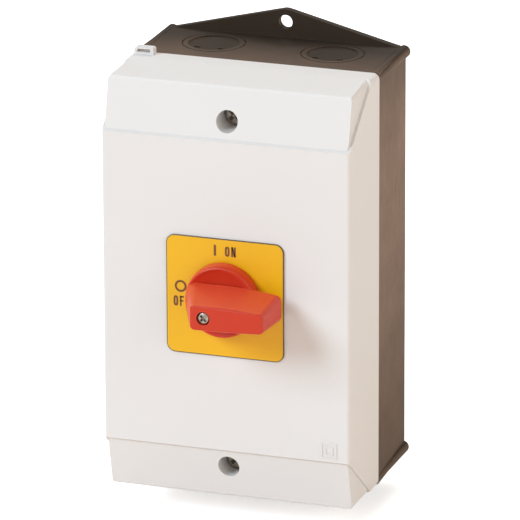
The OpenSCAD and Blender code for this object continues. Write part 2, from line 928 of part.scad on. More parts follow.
module drive_socket() {
    color(GREY) facing() difference() {
        union() {
            rod(socket_r, socket_z, bush_rear_z - 0.2);
            rod(bush_bore_r, bush_rear_z - 0.3, tang_z);
            square_rod(tang_af, tang_z - eps, tang_z + tang_len);
        }
        square_rod(shaft_af + 2 * plug_fit, socket_z - 1, socket_z + socket_depth);
        rod(knob_screw_r + run_fit, tang_z - 6, tang_z + tang_len + 1);
    }
}

// Smooth body between a wide outline at the foot and a narrow one at the front face
module grip() {
    end_w = grip_w + 0.8;
    tip_w = grip_w - 2;
    root_x = -(grip_short + grip_root) + grip_corner;
    end_x = grip_long + 0.7 - grip_corner;
    tip_x = grip_long - grip_corner;
    hull() for (y = [-1, 1]) {
        for (at = [[root_x, root_w - 4], [-grip_short - 2, root_w], [grip_long / 2, root_w],
                   [end_x, end_w]])
            translate([at[0], y * (at[1] / 2 - grip_corner), grip_z - 0.6])
                cylinder(r = grip_corner, h = 1, $fn = 32);
        for (at = [[-grip_short + grip_round, grip_w], [grip_long / 2, grip_w], [tip_x, tip_w]])
            translate([at[0], y * (at[1] / 2 - grip_round), knob_top - grip_round])
                sphere(r = grip_round, $fn = 24);
    }
}

// Round foot with a stepped rim
module knob_foot() {
    rod(knob_d / 2, knob_z, knob_z + foot_h - foot_edge);
    translate([0, 0, knob_z + foot_h - foot_edge])
        cylinder(r1 = knob_d / 2, r2 = knob_d / 2 - foot_edge, h = foot_edge);
    translate([0, 0, knob_z + foot_h - eps])
        cylinder(r1 = tier_r, r2 = tier_r - 0.5, h = tier_h + eps);
}

module knob() {
    color(RED) facing() difference() {
        union() {
            difference() {
                knob_foot();
                rod(dial_r, dial_z, knob_top);
            }
            intersection() {
                block([-knob_d, knob_d], [-root_w / 2, root_w / 2], [dial_z - eps, grip_z - 0.2]);
                rod(dial_r + 0.3, dial_z - 1, grip_z);
            }
            grip();
        }
        rod(bush_flange_r + 0.4, knob_z - 1, tang_z);
        square_rod(tang_af + 2 * plug_fit, tang_z - 1, tang_z + tang_len + 0.2);
        rod(knob_screw_r + 0.2, tang_z, knob_top);
        rod(knob_head_r + 0.15, knob_head_top - knob_head_h, knob_top + 1);
    }
}

module knob_screw() {
    color(STEEL) facing()
        pan_screw(knob_screw_r, knob_head_r, tang_z - 5.6, knob_head_top - knob_head_h, knob_head_h);
}

base_housing();
mounting_plate();
plate_screws();
switch_foot();
deck_housing(0);  // deck_housing_1
deck_housing(1);  // deck_housing_2
deck_housing(2);  // deck_housing_3
fixed_contacts(0);  // fixed_contacts_1
fixed_contacts(1);  // fixed_contacts_2
fixed_contacts(2);  // fixed_contacts_3
contact_slider(0);  // contact_slider_1
contact_slider(1);  // contact_slider_2
contact_slider(2);  // contact_slider_3
contact_bridge(0);  // contact_bridge_1
contact_bridge(1);  // contact_bridge_2
contact_bridge(2);  // contact_bridge_3
contact_spring(0);  // contact_spring_1
contact_spring(1);  // contact_spring_2
contact_spring(2);  // contact_spring_3
terminal_clamps();
terminal_screws();
latch_housing();
latch_cover();
latch_springs();
switch_bolts();
switch_nuts();
drive_shaft();
cam(0);  // cam_1
cam(1);  // cam_2
cam(2);  // cam_3
latch_star();
earth_terminal();
neutral_terminal();
link_screws();
cover_shell();
cover_gasket();
screw_retainers();
plate_frame();
legend_plate();
bearing_bush();
bush_washer();
bush_nut();
shaft_seal();
cover_screw(1);  // cover_screw_top
cover_screw(-1);  // cover_screw_bottom
drive_socket();
knob();
knob_screw();
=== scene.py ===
# %% [markdown]
# # A rotary isolator in an insulated enclosure
#
# The object is a switch box for a wall. A dark base holds a stack of cam-driven
# contacts, and a light cover with two sloping ends closes it. A red handle on a
# yellow plate turns the switch. The exact parts come packed from the CAD step.
# This lesson loads them, rounds their moulded edges, shapes the handle, prints
# the legend, and gives every part the surface of its real material.

import json
import math

import bmesh
import bpy
from mathutils import Matrix, Vector


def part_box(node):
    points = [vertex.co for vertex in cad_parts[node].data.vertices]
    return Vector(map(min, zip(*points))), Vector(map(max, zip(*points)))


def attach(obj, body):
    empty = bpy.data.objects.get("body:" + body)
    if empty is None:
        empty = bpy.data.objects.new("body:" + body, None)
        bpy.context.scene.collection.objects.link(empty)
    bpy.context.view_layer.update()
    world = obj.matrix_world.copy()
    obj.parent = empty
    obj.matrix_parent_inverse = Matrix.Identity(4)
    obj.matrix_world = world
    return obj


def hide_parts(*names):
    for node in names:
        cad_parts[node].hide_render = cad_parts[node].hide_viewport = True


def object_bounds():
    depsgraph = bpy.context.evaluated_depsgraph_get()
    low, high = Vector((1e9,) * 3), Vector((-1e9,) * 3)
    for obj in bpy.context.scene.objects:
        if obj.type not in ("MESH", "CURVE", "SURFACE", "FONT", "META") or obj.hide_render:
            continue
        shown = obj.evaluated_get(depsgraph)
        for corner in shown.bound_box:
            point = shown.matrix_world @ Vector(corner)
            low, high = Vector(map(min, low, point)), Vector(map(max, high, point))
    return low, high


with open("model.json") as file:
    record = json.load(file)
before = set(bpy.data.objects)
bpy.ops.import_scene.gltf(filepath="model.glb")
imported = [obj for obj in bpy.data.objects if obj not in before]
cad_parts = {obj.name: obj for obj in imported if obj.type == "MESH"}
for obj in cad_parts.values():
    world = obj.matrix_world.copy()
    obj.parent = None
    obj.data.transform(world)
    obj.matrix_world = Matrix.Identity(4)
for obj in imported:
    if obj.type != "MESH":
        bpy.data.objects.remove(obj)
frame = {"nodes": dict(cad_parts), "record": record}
cad_low, cad_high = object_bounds()
MM = 0.001
body_of_node = {
    node: body
    for body, nodes in frame["record"]["behaviour"]["bodies"].items()
    for node in nodes
}
slot_of_node = {s["node"]: s["material_slot"] for s in frame["record"]["subparts"]}

# %% [markdown]
# ## Shader groups
#
# Almost everything here is a moulded plastic or a plated steel. Three effects
# come back in most of the materials, so each is built once as a node group. The
# first is the fine texture that a spark-eroded mould leaves. The second is the
# slow change of tone over a large moulding. The third is the faint rub along
# edges and corners, partly wear and partly a painted highlight. A fourth group
# marks the outer walls of the base for a painted sheen of studio light. Groups
# only give out colours, masks and heights. The shader itself stays in each
# material.


# %% Helpers for node trees
def add_node(tree, kind, place, **settings):
    node = tree.nodes.new(kind)
    node.location = place
    for key, value in settings.items():
        if key.startswith("in_"):
            node.inputs[key[3:].replace("_", " ")].default_value = value
        else:
            setattr(node, key, value)
    return node


def new_group(name, inputs, outputs):
    tree = bpy.data.node_groups.new(name, "ShaderNodeTree")
    for label, kind, value in inputs:
        socket = tree.interface.new_socket(label, in_out="INPUT", socket_type=kind)
        socket.default_value = value
    for label, kind in outputs:
        tree.interface.new_socket(label, in_out="OUTPUT", socket_type=kind)
    enter = add_node(tree, "NodeGroupInput", (-900, 0))
    leave = add_node(tree, "NodeGroupOutput", (700, 0))
    return tree, enter, leave


def math_node(tree, place, operation, first, second=None, third=None):
    node = add_node(tree, "ShaderNodeMath", place, operation=operation)
    for index, value in enumerate((first, second, third)):
        if value is None:
            continue
        if isinstance(value, (int, float)):
            node.inputs[index].default_value = value
        else:
            tree.links.new(value, node.inputs[index])
    return node.outputs[0]


def ramp(tree, place, value, low=0.0, high=1.0, to_low=0.0, to_high=1.0):
    """Map the range from low to high onto the one from to_low to to_high."""
    node = add_node(tree, "ShaderNodeMapRange", place)
    numbers = {"From Min": low, "From Max": high, "To Min": to_low, "To Max": to_high}
    for label, number in numbers.items():
        node.inputs[label].default_value = number
    tree.links.new(value, node.inputs["Value"])
    return node.outputs["Result"]


def mix_colours(tree, place, share, first, second):
    """Mix two colours, each of them a fixed tuple or the output of a node."""
    node = add_node(tree, "ShaderNodeMix", place, data_type="RGBA")
    tree.links.new(share, node.inputs["Factor"])
    for index, colour in ((6, first), (7, second)):
        if isinstance(colour, tuple):
            node.inputs[index].default_value = (*colour, 1)
        else:
            tree.links.new(colour, node.inputs[index])
    return node.outputs[2]


# %% Group: texture of a spark-eroded mould
def build_mould_grain():
    tree, enter, leave = new_group(
        "mould_grain",
        [("Grain Size", "NodeSocketFloat", 900.0)],
        [("Height", "NodeSocketFloat"), ("Rough Mask", "NodeSocketFloat")],
    )
    link = tree.links.new
    place = add_node(tree, "ShaderNodeTexCoord", (-1100, 200))
    fine = add_node(tree, "ShaderNodeTexNoise", (-600, 200), in_Detail=3.0, in_Roughness=0.6)
    pits = add_node(tree, "ShaderNodeTexVoronoi", (-600, -100), feature="SMOOTH_F1")
    link(place.outputs["Object"], fine.inputs["Vector"])
    link(place.outputs["Object"], pits.inputs["Vector"])
    link(enter.outputs["Grain Size"], fine.inputs["Scale"])
    half = math_node(tree, (-800, -200), "MULTIPLY", enter.outputs["Grain Size"], 0.6)
    link(half, pits.inputs["Scale"])
    height = math_node(
        tree, (-300, 0), "MULTIPLY_ADD", pits.outputs["Distance"], 0.5, fine.outputs["Fac"]
    )
    link(height, leave.inputs["Height"])
    link(fine.outputs["Fac"], leave.inputs["Rough Mask"])
    return tree


# %% Group: slow change of tone over a moulding
def build_tone_drift():
    tree, enter, leave = new_group(
        "tone_drift",
        [
            ("Base", "NodeSocketColor", (0.5, 0.5, 0.5, 1)),
            ("Shade", "NodeSocketColor", (0.4, 0.4, 0.4, 1)),
            ("Size", "NodeSocketFloat", 20.0),
            ("Amount", "NodeSocketFloat", 0.5),
        ],
        [("Color", "NodeSocketColor")],
    )
    link = tree.links.new
    place = add_node(tree, "ShaderNodeTexCoord", (-1100, 200))
    cloud = add_node(tree, "ShaderNodeTexNoise", (-600, 200), in_Detail=4.0, in_Roughness=0.55)
    link(place.outputs["Object"], cloud.inputs["Vector"])
    link(enter.outputs["Size"], cloud.inputs["Scale"])
    patches = ramp(tree, (-350, 200), cloud.outputs["Fac"], 0.35, 0.65)
    share = math_node(tree, (-100, 100), "MULTIPLY", patches, enter.outputs["Amount"])
    tone = mix_colours(tree, (200, 100), share, enter.outputs["Base"], enter.outputs["Shade"])
    link(tone, leave.inputs["Color"])
    return tree


# %% Group: rub along edges, partly wear and partly a painted highlight
def build_edge_rub_highlight():
    tree, enter, leave = new_group(
        "edge_rub_highlight",
        [("Break Up", "NodeSocketFloat", 300.0), ("Amount", "NodeSocketFloat", 0.5)],
        [("Mask", "NodeSocketFloat")],
    )
    link = tree.links.new
    place = add_node(tree, "ShaderNodeTexCoord", (-1100, 200))
    shape = add_node(tree, "ShaderNodeNewGeometry", (-1100, -300))
    soft = add_node(tree, "ShaderNodeBevel", (-1100, -100), samples=4)
    soft.inputs["Radius"].default_value = 0.5 * MM
    same = add_node(tree, "ShaderNodeVectorMath", (-800, -200), operation="DOT_PRODUCT")
    link(soft.outputs["Normal"], same.inputs[0])
    link(shape.outputs["Normal"], same.inputs[1])
    sharp = ramp(tree, (-500, -200), same.outputs["Value"], 0.985, 0.86)
    spots = add_node(tree, "ShaderNodeTexNoise", (-600, 200), in_Detail=5.0, in_Roughness=0.7)
    link(place.outputs["Object"], spots.inputs["Vector"])
    link(enter.outputs["Break Up"], spots.inputs["Scale"])
    both = math_node(tree, (-200, 0), "MULTIPLY", sharp, spots.outputs["Fac"])
    mask = math_node(tree, (100, 0), "MULTIPLY", both, enter.outputs["Amount"])
    link(mask, leave.inputs["Mask"])
    return tree


# %% Group: painted sheen of studio light on the outer walls of the base, with streaks and mottling
def build_wall_painted_sheen():
    tree, _, leave = new_group("wall_painted_sheen", [], [("Mask", "NodeSocketFloat")])
    link = tree.links.new
    entry_x, entry_out = 24.5 * MM, 18.5 * MM
    disc_edge, groove_edge = 9.9 * MM, 10.6 * MM
    place = add_node(tree, "ShaderNodeTexCoord", (-1500, 0))
    facing = add_node(tree, "ShaderNodeSeparateXYZ", (-1300, -200))
    spot = add_node(tree, "ShaderNodeSeparateXYZ", (-1300, -500))
    link(place.outputs["Normal"], facing.inputs[0])
    link(place.outputs["Object"], spot.inputs[0])
    aside = math_node(tree, (-1100, -200), "ABSOLUTE", facing.outputs["X"])
    upwards = math_node(tree, (-1100, -350), "ABSOLUTE", facing.outputs["Z"])
    across = math_node(tree, (-1300, -950), "ABSOLUTE", spot.outputs["X"])

    # painted sheen on the two side walls, as light from the upper right gives it: darker towards
    # the bottom and at the very top
    side = ramp(tree, (-900, -200), aside, 0.6, 0.95)
    lower = ramp(tree, (-900, -500), spot.outputs["Z"], -0.08, 0.03, 0.34, 1.0)
    upper = ramp(tree, (-900, -650), spot.outputs["Z"], 0.05, 0.085, 1.0, 0.45)
    side_sheen_falloff = math_node(tree, (-700, -300), "MULTIPLY", lower, upper)
    on_sides = math_node(tree, (-500, -200), "MULTIPLY", side, side_sheen_falloff)

    # painted sheen on the two end walls, warmer towards the cover, without the knockout discs
    end = ramp(tree, (-900, -350), upwards, 0.6, 0.95)
    front = ramp(tree, (-900, -800), spot.outputs["Y"], -0.012, -0.04, 0.0, 0.5)
    end_sheen_falloff = math_node(tree, (-700, -500), "MULTIPLY", end, front)
    from_entry = math_node(tree, (-1100, -950), "SUBTRACT", across, entry_x)
    above_entry = math_node(tree, (-1100, -1100), "ADD", spot.outputs["Y"], entry_out)
    place_on_disc = add_node(tree, "ShaderNodeCombineXYZ", (-900, -1000))
    link(from_entry, place_on_disc.inputs["X"])
    link(above_entry, place_on_disc.inputs["Y"])
    reach = add_node(tree, "ShaderNodeVectorMath", (-700, -1000), operation="LENGTH")
    link(place_on_disc.outputs[0], reach.inputs[0])
    off_disc = ramp(tree, (-500, -1000), reach.outputs["Value"], disc_edge, groove_edge)
    on_ends = math_node(tree, (-500, -500), "MULTIPLY", end_sheen_falloff, off_disc)
    walls = math_node(tree, (-300, -300), "ADD", on_sides, on_ends)

    # slanting streaks and soft clouds that break up the painted sheen
    lean = add_node(tree, "ShaderNodeMapping", (-1300, 300))
    lean.inputs["Rotation"].default_value = (math.radians(38), 0, 0)
    lean.inputs["Scale"].default_value = (1, 5, 1)
    link(place.outputs["Object"], lean.inputs["Vector"])
    streak = add_node(tree, "ShaderNodeTexNoise", (-1100, 300), in_Scale=150.0, in_Detail=5.0)
    streak.inputs["Roughness"].default_value = 0.65
    link(lean.outputs["Vector"], streak.inputs["Vector"])
    cloud = add_node(tree, "ShaderNodeTexNoise", (-1100, 100), in_Scale=45.0, in_Detail=4.0)
    link(place.outputs["Object"], cloud.inputs["Vector"])
    mottle = math_node(
        tree, (-800, 200), "MULTIPLY_ADD", streak.outputs["Fac"], 0.8, cloud.outputs["Fac"]
    )
    level = ramp(tree, (-600, 200), mottle, 0.66, 1.14, 0.62, 1.0)
    link(math_node(tree, (-100, 0), "MULTIPLY", walls, level), leave.inputs["Mask"])
    return tree


mould_grain = build_mould_grain()
tone_drift = build_tone_drift()
edge_rub_highlight = build_edge_rub_highlight()
wall_painted_sheen = build_wall_painted_sheen()
print("shader groups:", len(bpy.data.node_groups))

# %% [markdown]
# ## Plastics
#
# One recipe makes all plastics: a tone that drifts slowly, an edge rub that
# lightens or darkens, partly wear and partly a painted highlight, a roughness
# that follows the mould texture, and a bump from the same texture. What differs
# between the pale cover, the dark base, the yellow plate and the red handle is
# the values. Depths are in metres, because the whole scene is in metres.


# %% Recipe for a moulded plastic
def plastic(name, base, shade, edge, rough, grain, depth, drift=12.0, rub_and_highlight=0.4, gleam=0.5):
    rough_spread = 0.12
    material = bpy.data.materials.new(name)
    material.use_nodes = True
    tree = material.node_tree
    link = tree.links.new
    shader = tree.nodes["Principled BSDF"]
    shader.inputs["IOR"].default_value = 1.5
    shader.inputs["Specular IOR Level"].default_value = gleam
    tone = add_node(tree, "ShaderNodeGroup", (-900, 300), node_tree=tone_drift)
    tone.inputs["Base"].default_value = (*base, 1)
    tone.inputs["Shade"].default_value = (*shade, 1)
    tone.inputs["Size"].default_value = drift
    tone.inputs["Amount"].default_value = 0.6
    edge_wear_highlight = add_node(tree, "ShaderNodeGroup", (-900, 0), node_tree=edge_rub_highlight)
    edge_wear_highlight.inputs["Amount"].default_value = rub_and_highlight
    mould = add_node(tree, "ShaderNodeGroup", (-900, -300), node_tree=mould_grain)
    mould.inputs["Grain Size"].default_value = grain
    # edges take the edge colour: partly wear, partly a painted highlight
    colour = mix_colours(tree, (-500, 200), edge_wear_highlight.outputs["Mask"], tone.outputs["Color"], edge)
    link(colour, shader.inputs["Base Color"])
    gloss = ramp(tree, (-500, -100), mould.outputs["Rough Mask"],
                 to_low=rough - rough_spread, to_high=rough + rough_spread)
    link(gloss, shader.inputs["Roughness"])
    bump = add_node(tree, "ShaderNodeBump", (-300, -350))
    bump.inputs["Distance"].default_value = depth
    link(mould.outputs["Height"], bump.inputs["Height"])
    link(bump.outputs["Normal"], shader.inputs["Normal"])
    return material


# %% [markdown]
# ## Metals
#
# The screws, the mounting plate and the clamps are zinc-plated steel, the
# contacts are copper and the terminals are brass. Turned and rolled metal is
# never even: it has a fine directional grain and patches that are a little
# duller. The grain is noise stretched along one axis.


# %% Recipe for a plated or bare metal
def metal(name, base, shade, rough, stretch=(1, 1, 12), grain=700.0, depth=2e-6):
    material = bpy.data.materials.new(name)
    material.use_nodes = True
    tree = material.node_tree
    link = tree.links.new
    shader = tree.nodes["Principled BSDF"]
    shader.inputs["Metallic"].default_value = 1.0
    tone = add_node(tree, "ShaderNodeGroup", (-900, 300), node_tree=tone_drift)
    tone.inputs["Base"].default_value = (*base, 1)
    tone.inputs["Shade"].default_value = (*shade, 1)
    tone.inputs["Size"].default_value = 160.0
    tone.inputs["Amount"].default_value = 0.8
    link(tone.outputs["Color"], shader.inputs["Base Color"])
    place = add_node(tree, "ShaderNodeTexCoord", (-1300, -200))
    turn = add_node(tree, "ShaderNodeMapping", (-1100, -200))
    turn.inputs["Scale"].default_value = stretch
    brush = add_node(tree, "ShaderNodeTexNoise", (-900, -200), in_Detail=4.0, in_Scale=grain)
    link(place.outputs["Object"], turn.inputs["Vector"])
    link(turn.outputs["Vector"], brush.inputs["Vector"])
    gloss = ramp(tree, (-500, -100), brush.outputs["Fac"], to_low=rough - 0.1, to_high=rough + 0.14)
    link(gloss, shader.inputs["Roughness"])
    bump = add_node(tree, "ShaderNodeBump", (-300, -350))
    bump.inputs["Distance"].default_value = depth
    link(brush.outputs["Fac"], bump.inputs["Height"])
    link(bump.outputs["Normal"], shader.inputs["Normal"])
    return material


# %% The finishes of this object
# plastic: base, shade and edge colour (the edge colour partly wear, partly a painted
# highlight), roughness, grain size, depth of the texture
# metal: base and shade colour, roughness
finish = {
    "cover_plastic": plastic("cover_plastic", (0.70, 0.675, 0.655), (0.688, 0.66, 0.637),
                             (0.76, 0.74, 0.72), 0.46, 2600.0, 9e-6, drift=9.0, rub_and_highlight=0.25),
    "base_plastic": plastic("base_plastic", (0.032, 0.023, 0.0155), (0.043, 0.028, 0.018),
                            (0.1, 0.075, 0.06), 0.5, 2000.0, 1.6e-5,
                            drift=22.0, rub_and_highlight=0.6, gleam=0.12),
    "handle_red": plastic("handle_red", (0.55, 0.034, 0.01), (0.525, 0.03, 0.009),
                          (0.78, 0.17, 0.08), 0.36, 2400.0, 5e-6, drift=40.0, rub_and_highlight=0.8, gleam=0.36),
    "plate_yellow": plastic("plate_yellow", (0.78, 0.42, 0.001), (0.755, 0.395, 0.001),
                            (0.86, 0.52, 0.06), 0.4, 3000.0, 2e-6, drift=30.0, rub_and_highlight=0.2),
    "plate_black": plastic("plate_black", (0.12, 0.072, 0.03), (0.1, 0.06, 0.026),
                           (0.16, 0.1, 0.05), 0.45, 2000.0, 8e-6),
    "switch_grey": plastic("switch_grey", (0.2, 0.195, 0.19), (0.17, 0.165, 0.16),
                           (0.3, 0.29, 0.28), 0.5, 1800.0, 1e-5),
    "switch_black": plastic("switch_black", (0.02, 0.02, 0.021), (0.03, 0.03, 0.03),
                            (0.08, 0.08, 0.08), 0.42, 1800.0, 1e-5),
    "cam_plastic": plastic("cam_plastic", (0.62, 0.54, 0.4), (0.56, 0.48, 0.34),
                           (0.7, 0.63, 0.5), 0.4, 1600.0, 6e-6),
    "seal_rubber": plastic("seal_rubber", (0.018, 0.018, 0.018), (0.028, 0.027, 0.026),
                           (0.06, 0.06, 0.06), 0.7, 1500.0, 1.2e-5),
    "zinc_steel": metal("zinc_steel", (0.5, 0.47, 0.43), (0.36, 0.32, 0.27), 0.38),
    "shaft_steel": metal("shaft_steel", (0.55, 0.55, 0.56), (0.45, 0.45, 0.46), 0.3,
                         stretch=(1, 0.08, 1)),
    "spring_steel": metal("spring_steel", (0.5, 0.5, 0.52), (0.4, 0.4, 0.42), 0.26),
    "contact_copper": metal("contact_copper", (0.8, 0.42, 0.25), (0.62, 0.3, 0.17), 0.32),
    "terminal_brass": metal("terminal_brass", (0.76, 0.58, 0.25), (0.62, 0.45, 0.18), 0.3),
}
legend_ink = plastic("legend_ink", (0.16, 0.05, 0.012), (0.2, 0.07, 0.02),
                     (0.25, 0.09, 0.03), 0.5, 2500.0, 3e-6)
print("finishes:", sorted(finish))


# %% [markdown]
# ## Two finishes with painted light
#
# The base is a dark warm plastic. On its large outer walls a warm brown sheen
# is painted, as if they caught the studio, more so near the cover. On the
# handle a fuller red is painted where it is seen edge-on, as on its upper
# flank, but not on its narrow end: a painted sheen of the light from above.


# %% Mix a tint into the colour that a material already has
def tint_over(material, share, tint):
    tree = material.node_tree
    colour = tree.nodes["Principled BSDF"].inputs["Base Color"]
    before = colour.links[0].from_socket
    tree.links.new(mix_colours(tree, (-250, 400), share, before, tint), colour)


# %% Painted sheen: warm brown studio light painted on the outer walls of the base
base_tree = finish["base_plastic"].node_tree
walls = add_node(base_tree, "ShaderNodeGroup", (-500, 500), node_tree=wall_painted_sheen)
# painted sheen: a warm brown reflection painted over the dark base where the mask is
tint_over(finish["base_plastic"], walls.outputs["Mask"], (0.255, 0.165, 0.115))
print("base nodes:", len(base_tree.nodes))

# %% Painted sheen: a fuller red painted on the flanks of the handle
red_tree = finish["handle_red"].node_tree
slant = add_node(red_tree, "ShaderNodeLayerWeight", (-700, 700), in_Blend=0.5)
edge_on = ramp(red_tree, (-500, 700), slant.outputs["Facing"], 0.3, 0.62)
place = add_node(red_tree, "ShaderNodeTexCoord", (-1100, 500))
axes = add_node(red_tree, "ShaderNodeSeparateXYZ", (-900, 500))
red_tree.links.new(place.outputs["Normal"], axes.inputs["Vector"])
off_end = math_node(red_tree, (-700, 500), "SUBTRACT", 1.0, axes.outputs["X"])
off_end.node.use_clamp = True
flank_sheen = math_node(red_tree, (-480, 500), "MULTIPLY", edge_on, off_end)
# painted sheen: the light from above, painted as a fuller red on the upper flanks and not on the
# narrow end
tint_over(finish["handle_red"], flank_sheen, (0.74, 0.08, 0.03))
print("handle nodes:", len(red_tree.nodes))

# %% [markdown]
# ## Rounded edges on the moulded and turned parts
#
# A CAD mesh has knife edges, and nothing real has them: mould tools are rounded,
# and it is the small radius that catches the light. Each part is copied, its
# loose triangles are merged, flat areas are joined into single faces, and a
# bevel then rounds every edge that is sharper than a set angle. The copy rides
# with the same body as its CAD part and stands for it.


# %% Helpers for objects
def add_object(name, data):
    piece = bpy.data.objects.new(name, data)
    bpy.context.scene.collection.objects.link(piece)
    return piece


def object_from_work(name, work):
    mesh = bpy.data.meshes.new(name)
    work.to_mesh(mesh)
    work.free()
    return add_object(name, mesh)


def settled_mesh(piece):
    """A plain mesh of what a piece looks like with its modifiers."""
    bpy.context.view_layer.update()
    graph = bpy.context.evaluated_depsgraph_get()
    return bpy.data.meshes.new_from_object(piece.evaluated_get(graph))


def take_place(piece, node):
    """Let a piece stand for a CAD part and ride with its body."""
    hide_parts(node)
    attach(piece, body_of_node[node])


# %% Copy a CAD part and round it
same_place = 2e-6


def merged_copy(node, name):
    mesh = frame["nodes"][node].data.copy()
    mesh.name = name
    mesh.materials.clear()
    work = bmesh.new()
    work.from_mesh(mesh)
    bmesh.ops.remove_doubles(work, verts=work.verts, dist=same_place)
    bmesh.ops.dissolve_limit(
        work, angle_limit=math.radians(0.6), verts=work.verts, edges=work.edges
    )
    work.to_mesh(mesh)
    work.free()
    return add_object(name, mesh)


def smooth_with_sharp(piece, angle):
    mesh = piece.data
    for face in mesh.polygons:
        face.use_smooth = True
    mesh.set_sharp_from_angle(angle=math.radians(angle))


def round_edges(piece, width):
    bevel = piece.modifiers.new("rounding", "BEVEL")
    bevel.width = width
    bevel.segments = 3
    bevel.limit_method = "ANGLE"
    bevel.angle_limit = math.radians(28)
    bevel.use_clamp_overlap = True
    bevel.miter_outer = "MITER_ARC"
    even = piece.modifiers.new("even_shading", "WEIGHTED_NORMAL")
    even.mode = "FACE_AREA"
    even.weight = 100
    even.keep_sharp = True


def stand_in(node, width):
    piece = merged_copy(node, node + "_part")
    smooth_with_sharp(piece, 40)
    round_edges(piece, width)
    piece.data.materials.append(finish[slot_of_node[node]])
    take_place(piece, node)


# %% Round every part that keeps its CAD shape
# widths of the rounding in millimetres
rounding = {
    "cover_shell": 0.35, "base_housing": 0.3, "plate_frame": 0.12, "legend_plate": 0.1,
    "bearing_bush": 0.25, "drive_socket": 0.2, "mounting_plate": 0.2, "switch_foot": 0.3,
    "deck_housing_1": 0.2, "deck_housing_2": 0.2, "deck_housing_3": 0.2,
    "latch_housing": 0.25, "latch_cover": 0.25, "drive_shaft": 0.2, "latch_star": 0.2,
    "cam_1": 0.15, "cam_2": 0.15, "cam_3": 0.15, "earth_terminal": 0.25, "neutral_terminal": 0.25,
    "contact_slider_1": 0.15, "contact_slider_2": 0.15, "contact_slider_3": 0.15,
    "contact_bridge_1": 0.12, "contact_bridge_2": 0.12, "contact_bridge_3": 0.12,
    "fixed_contacts_1": 0.1, "fixed_contacts_2": 0.1, "fixed_contacts_3": 0.1,
    "terminal_clamps": 0.15, "switch_nuts": 0.2, "bush_washer": 0.1, "bush_nut": 0.25,
    "shaft_seal": 0.1, "screw_retainers": 0.15, "latch_springs": 0.1,
}
for node, width in rounding.items():
    stand_in(node, width * MM)
print("rounded parts:", len(rounding))

# %% Spin a profile round an axis that points out of the wall
def spin_profile(work, profile, steps=96):
    rings = []
    for radius, out in profile:
        if radius < 1e-7:
            rings.append([work.verts.new((0, -out, 0))])
            continue
        rings.append([
            work.verts.new((radius * math.cos(a), -out, radius * math.sin(a)))
            for a in (2 * math.pi * k / steps for k in range(steps))
        ])
    for lower, upper in zip(rings, rings[1:]):
        for k in range(steps):
            n = (k + 1) % steps
            if len(lower) == 1:
                work.faces.new((lower[0], upper[n], upper[k]))
            elif len(upper) == 1:
                work.faces.new((lower[k], lower[n], upper[0]))
            else:
                work.faces.new((lower[k], lower[n], upper[n], upper[k]))


# %% [markdown]
# ## Parts that follow a rule
#
# Springs, screws and the gasket are not drawn one by one. A spring is a circle
# swept along a spiral, a gasket is a cord swept round the rim, and a set of
# screws is one screw set down at every screw position. Geometry Nodes make all
# three, so a size can be changed in one place. Every tree ends in plain faces
# with a material, and the result is kept as an ordinary mesh.


# %% Helpers for geometry trees
def new_geometry_tree(name, inputs):
    tree = bpy.data.node_groups.new(name, "GeometryNodeTree")
    tree.interface.new_socket("Geometry", in_out="INPUT", socket_type="NodeSocketGeometry")
    for label, kind in inputs:
        tree.interface.new_socket(label, in_out="INPUT", socket_type=kind)
    tree.interface.new_socket("Geometry", in_out="OUTPUT", socket_type="NodeSocketGeometry")
    enter = add_node(tree, "NodeGroupInput", (-1200, 0))
    leave = add_node(tree, "NodeGroupOutput", (900, 0))
    return tree, enter, leave


def close_tree(tree, shape, enter, leave):
    """End a tree in real faces that carry the material of its Material input."""
    real = add_node(tree, "GeometryNodeRealizeInstances", (500, 0))
    paint = add_node(tree, "GeometryNodeSetMaterial", (700, 0))
    tree.links.new(shape, real.inputs["Geometry"])
    tree.links.new(real.outputs["Geometry"], paint.inputs["Geometry"])
    tree.links.new(enter.outputs["Material"], paint.inputs["Material"])
    tree.links.new(paint.outputs["Geometry"], leave.inputs["Geometry"])


def grow(name, tree, values, points=()):
    """Run a tree once on a few points and keep the outcome as a plain mesh."""
    seed = bpy.data.meshes.new(name + "_points")
    seed.from_pydata([tuple(p) for p in points], [], [])
    piece = add_object(name, seed)
    modifier = piece.modifiers.new("rule", "NODES")
    modifier.node_group = tree
    for item in tree.interface.items_tree:
        if item.item_type == "SOCKET" and item.in_out == "INPUT" and item.name in values:
            modifier[item.identifier] = values[item.name]
    grown = settled_mesh(piece)
    grown.name = name
    piece.modifiers.clear()
    piece.data = grown
    return piece


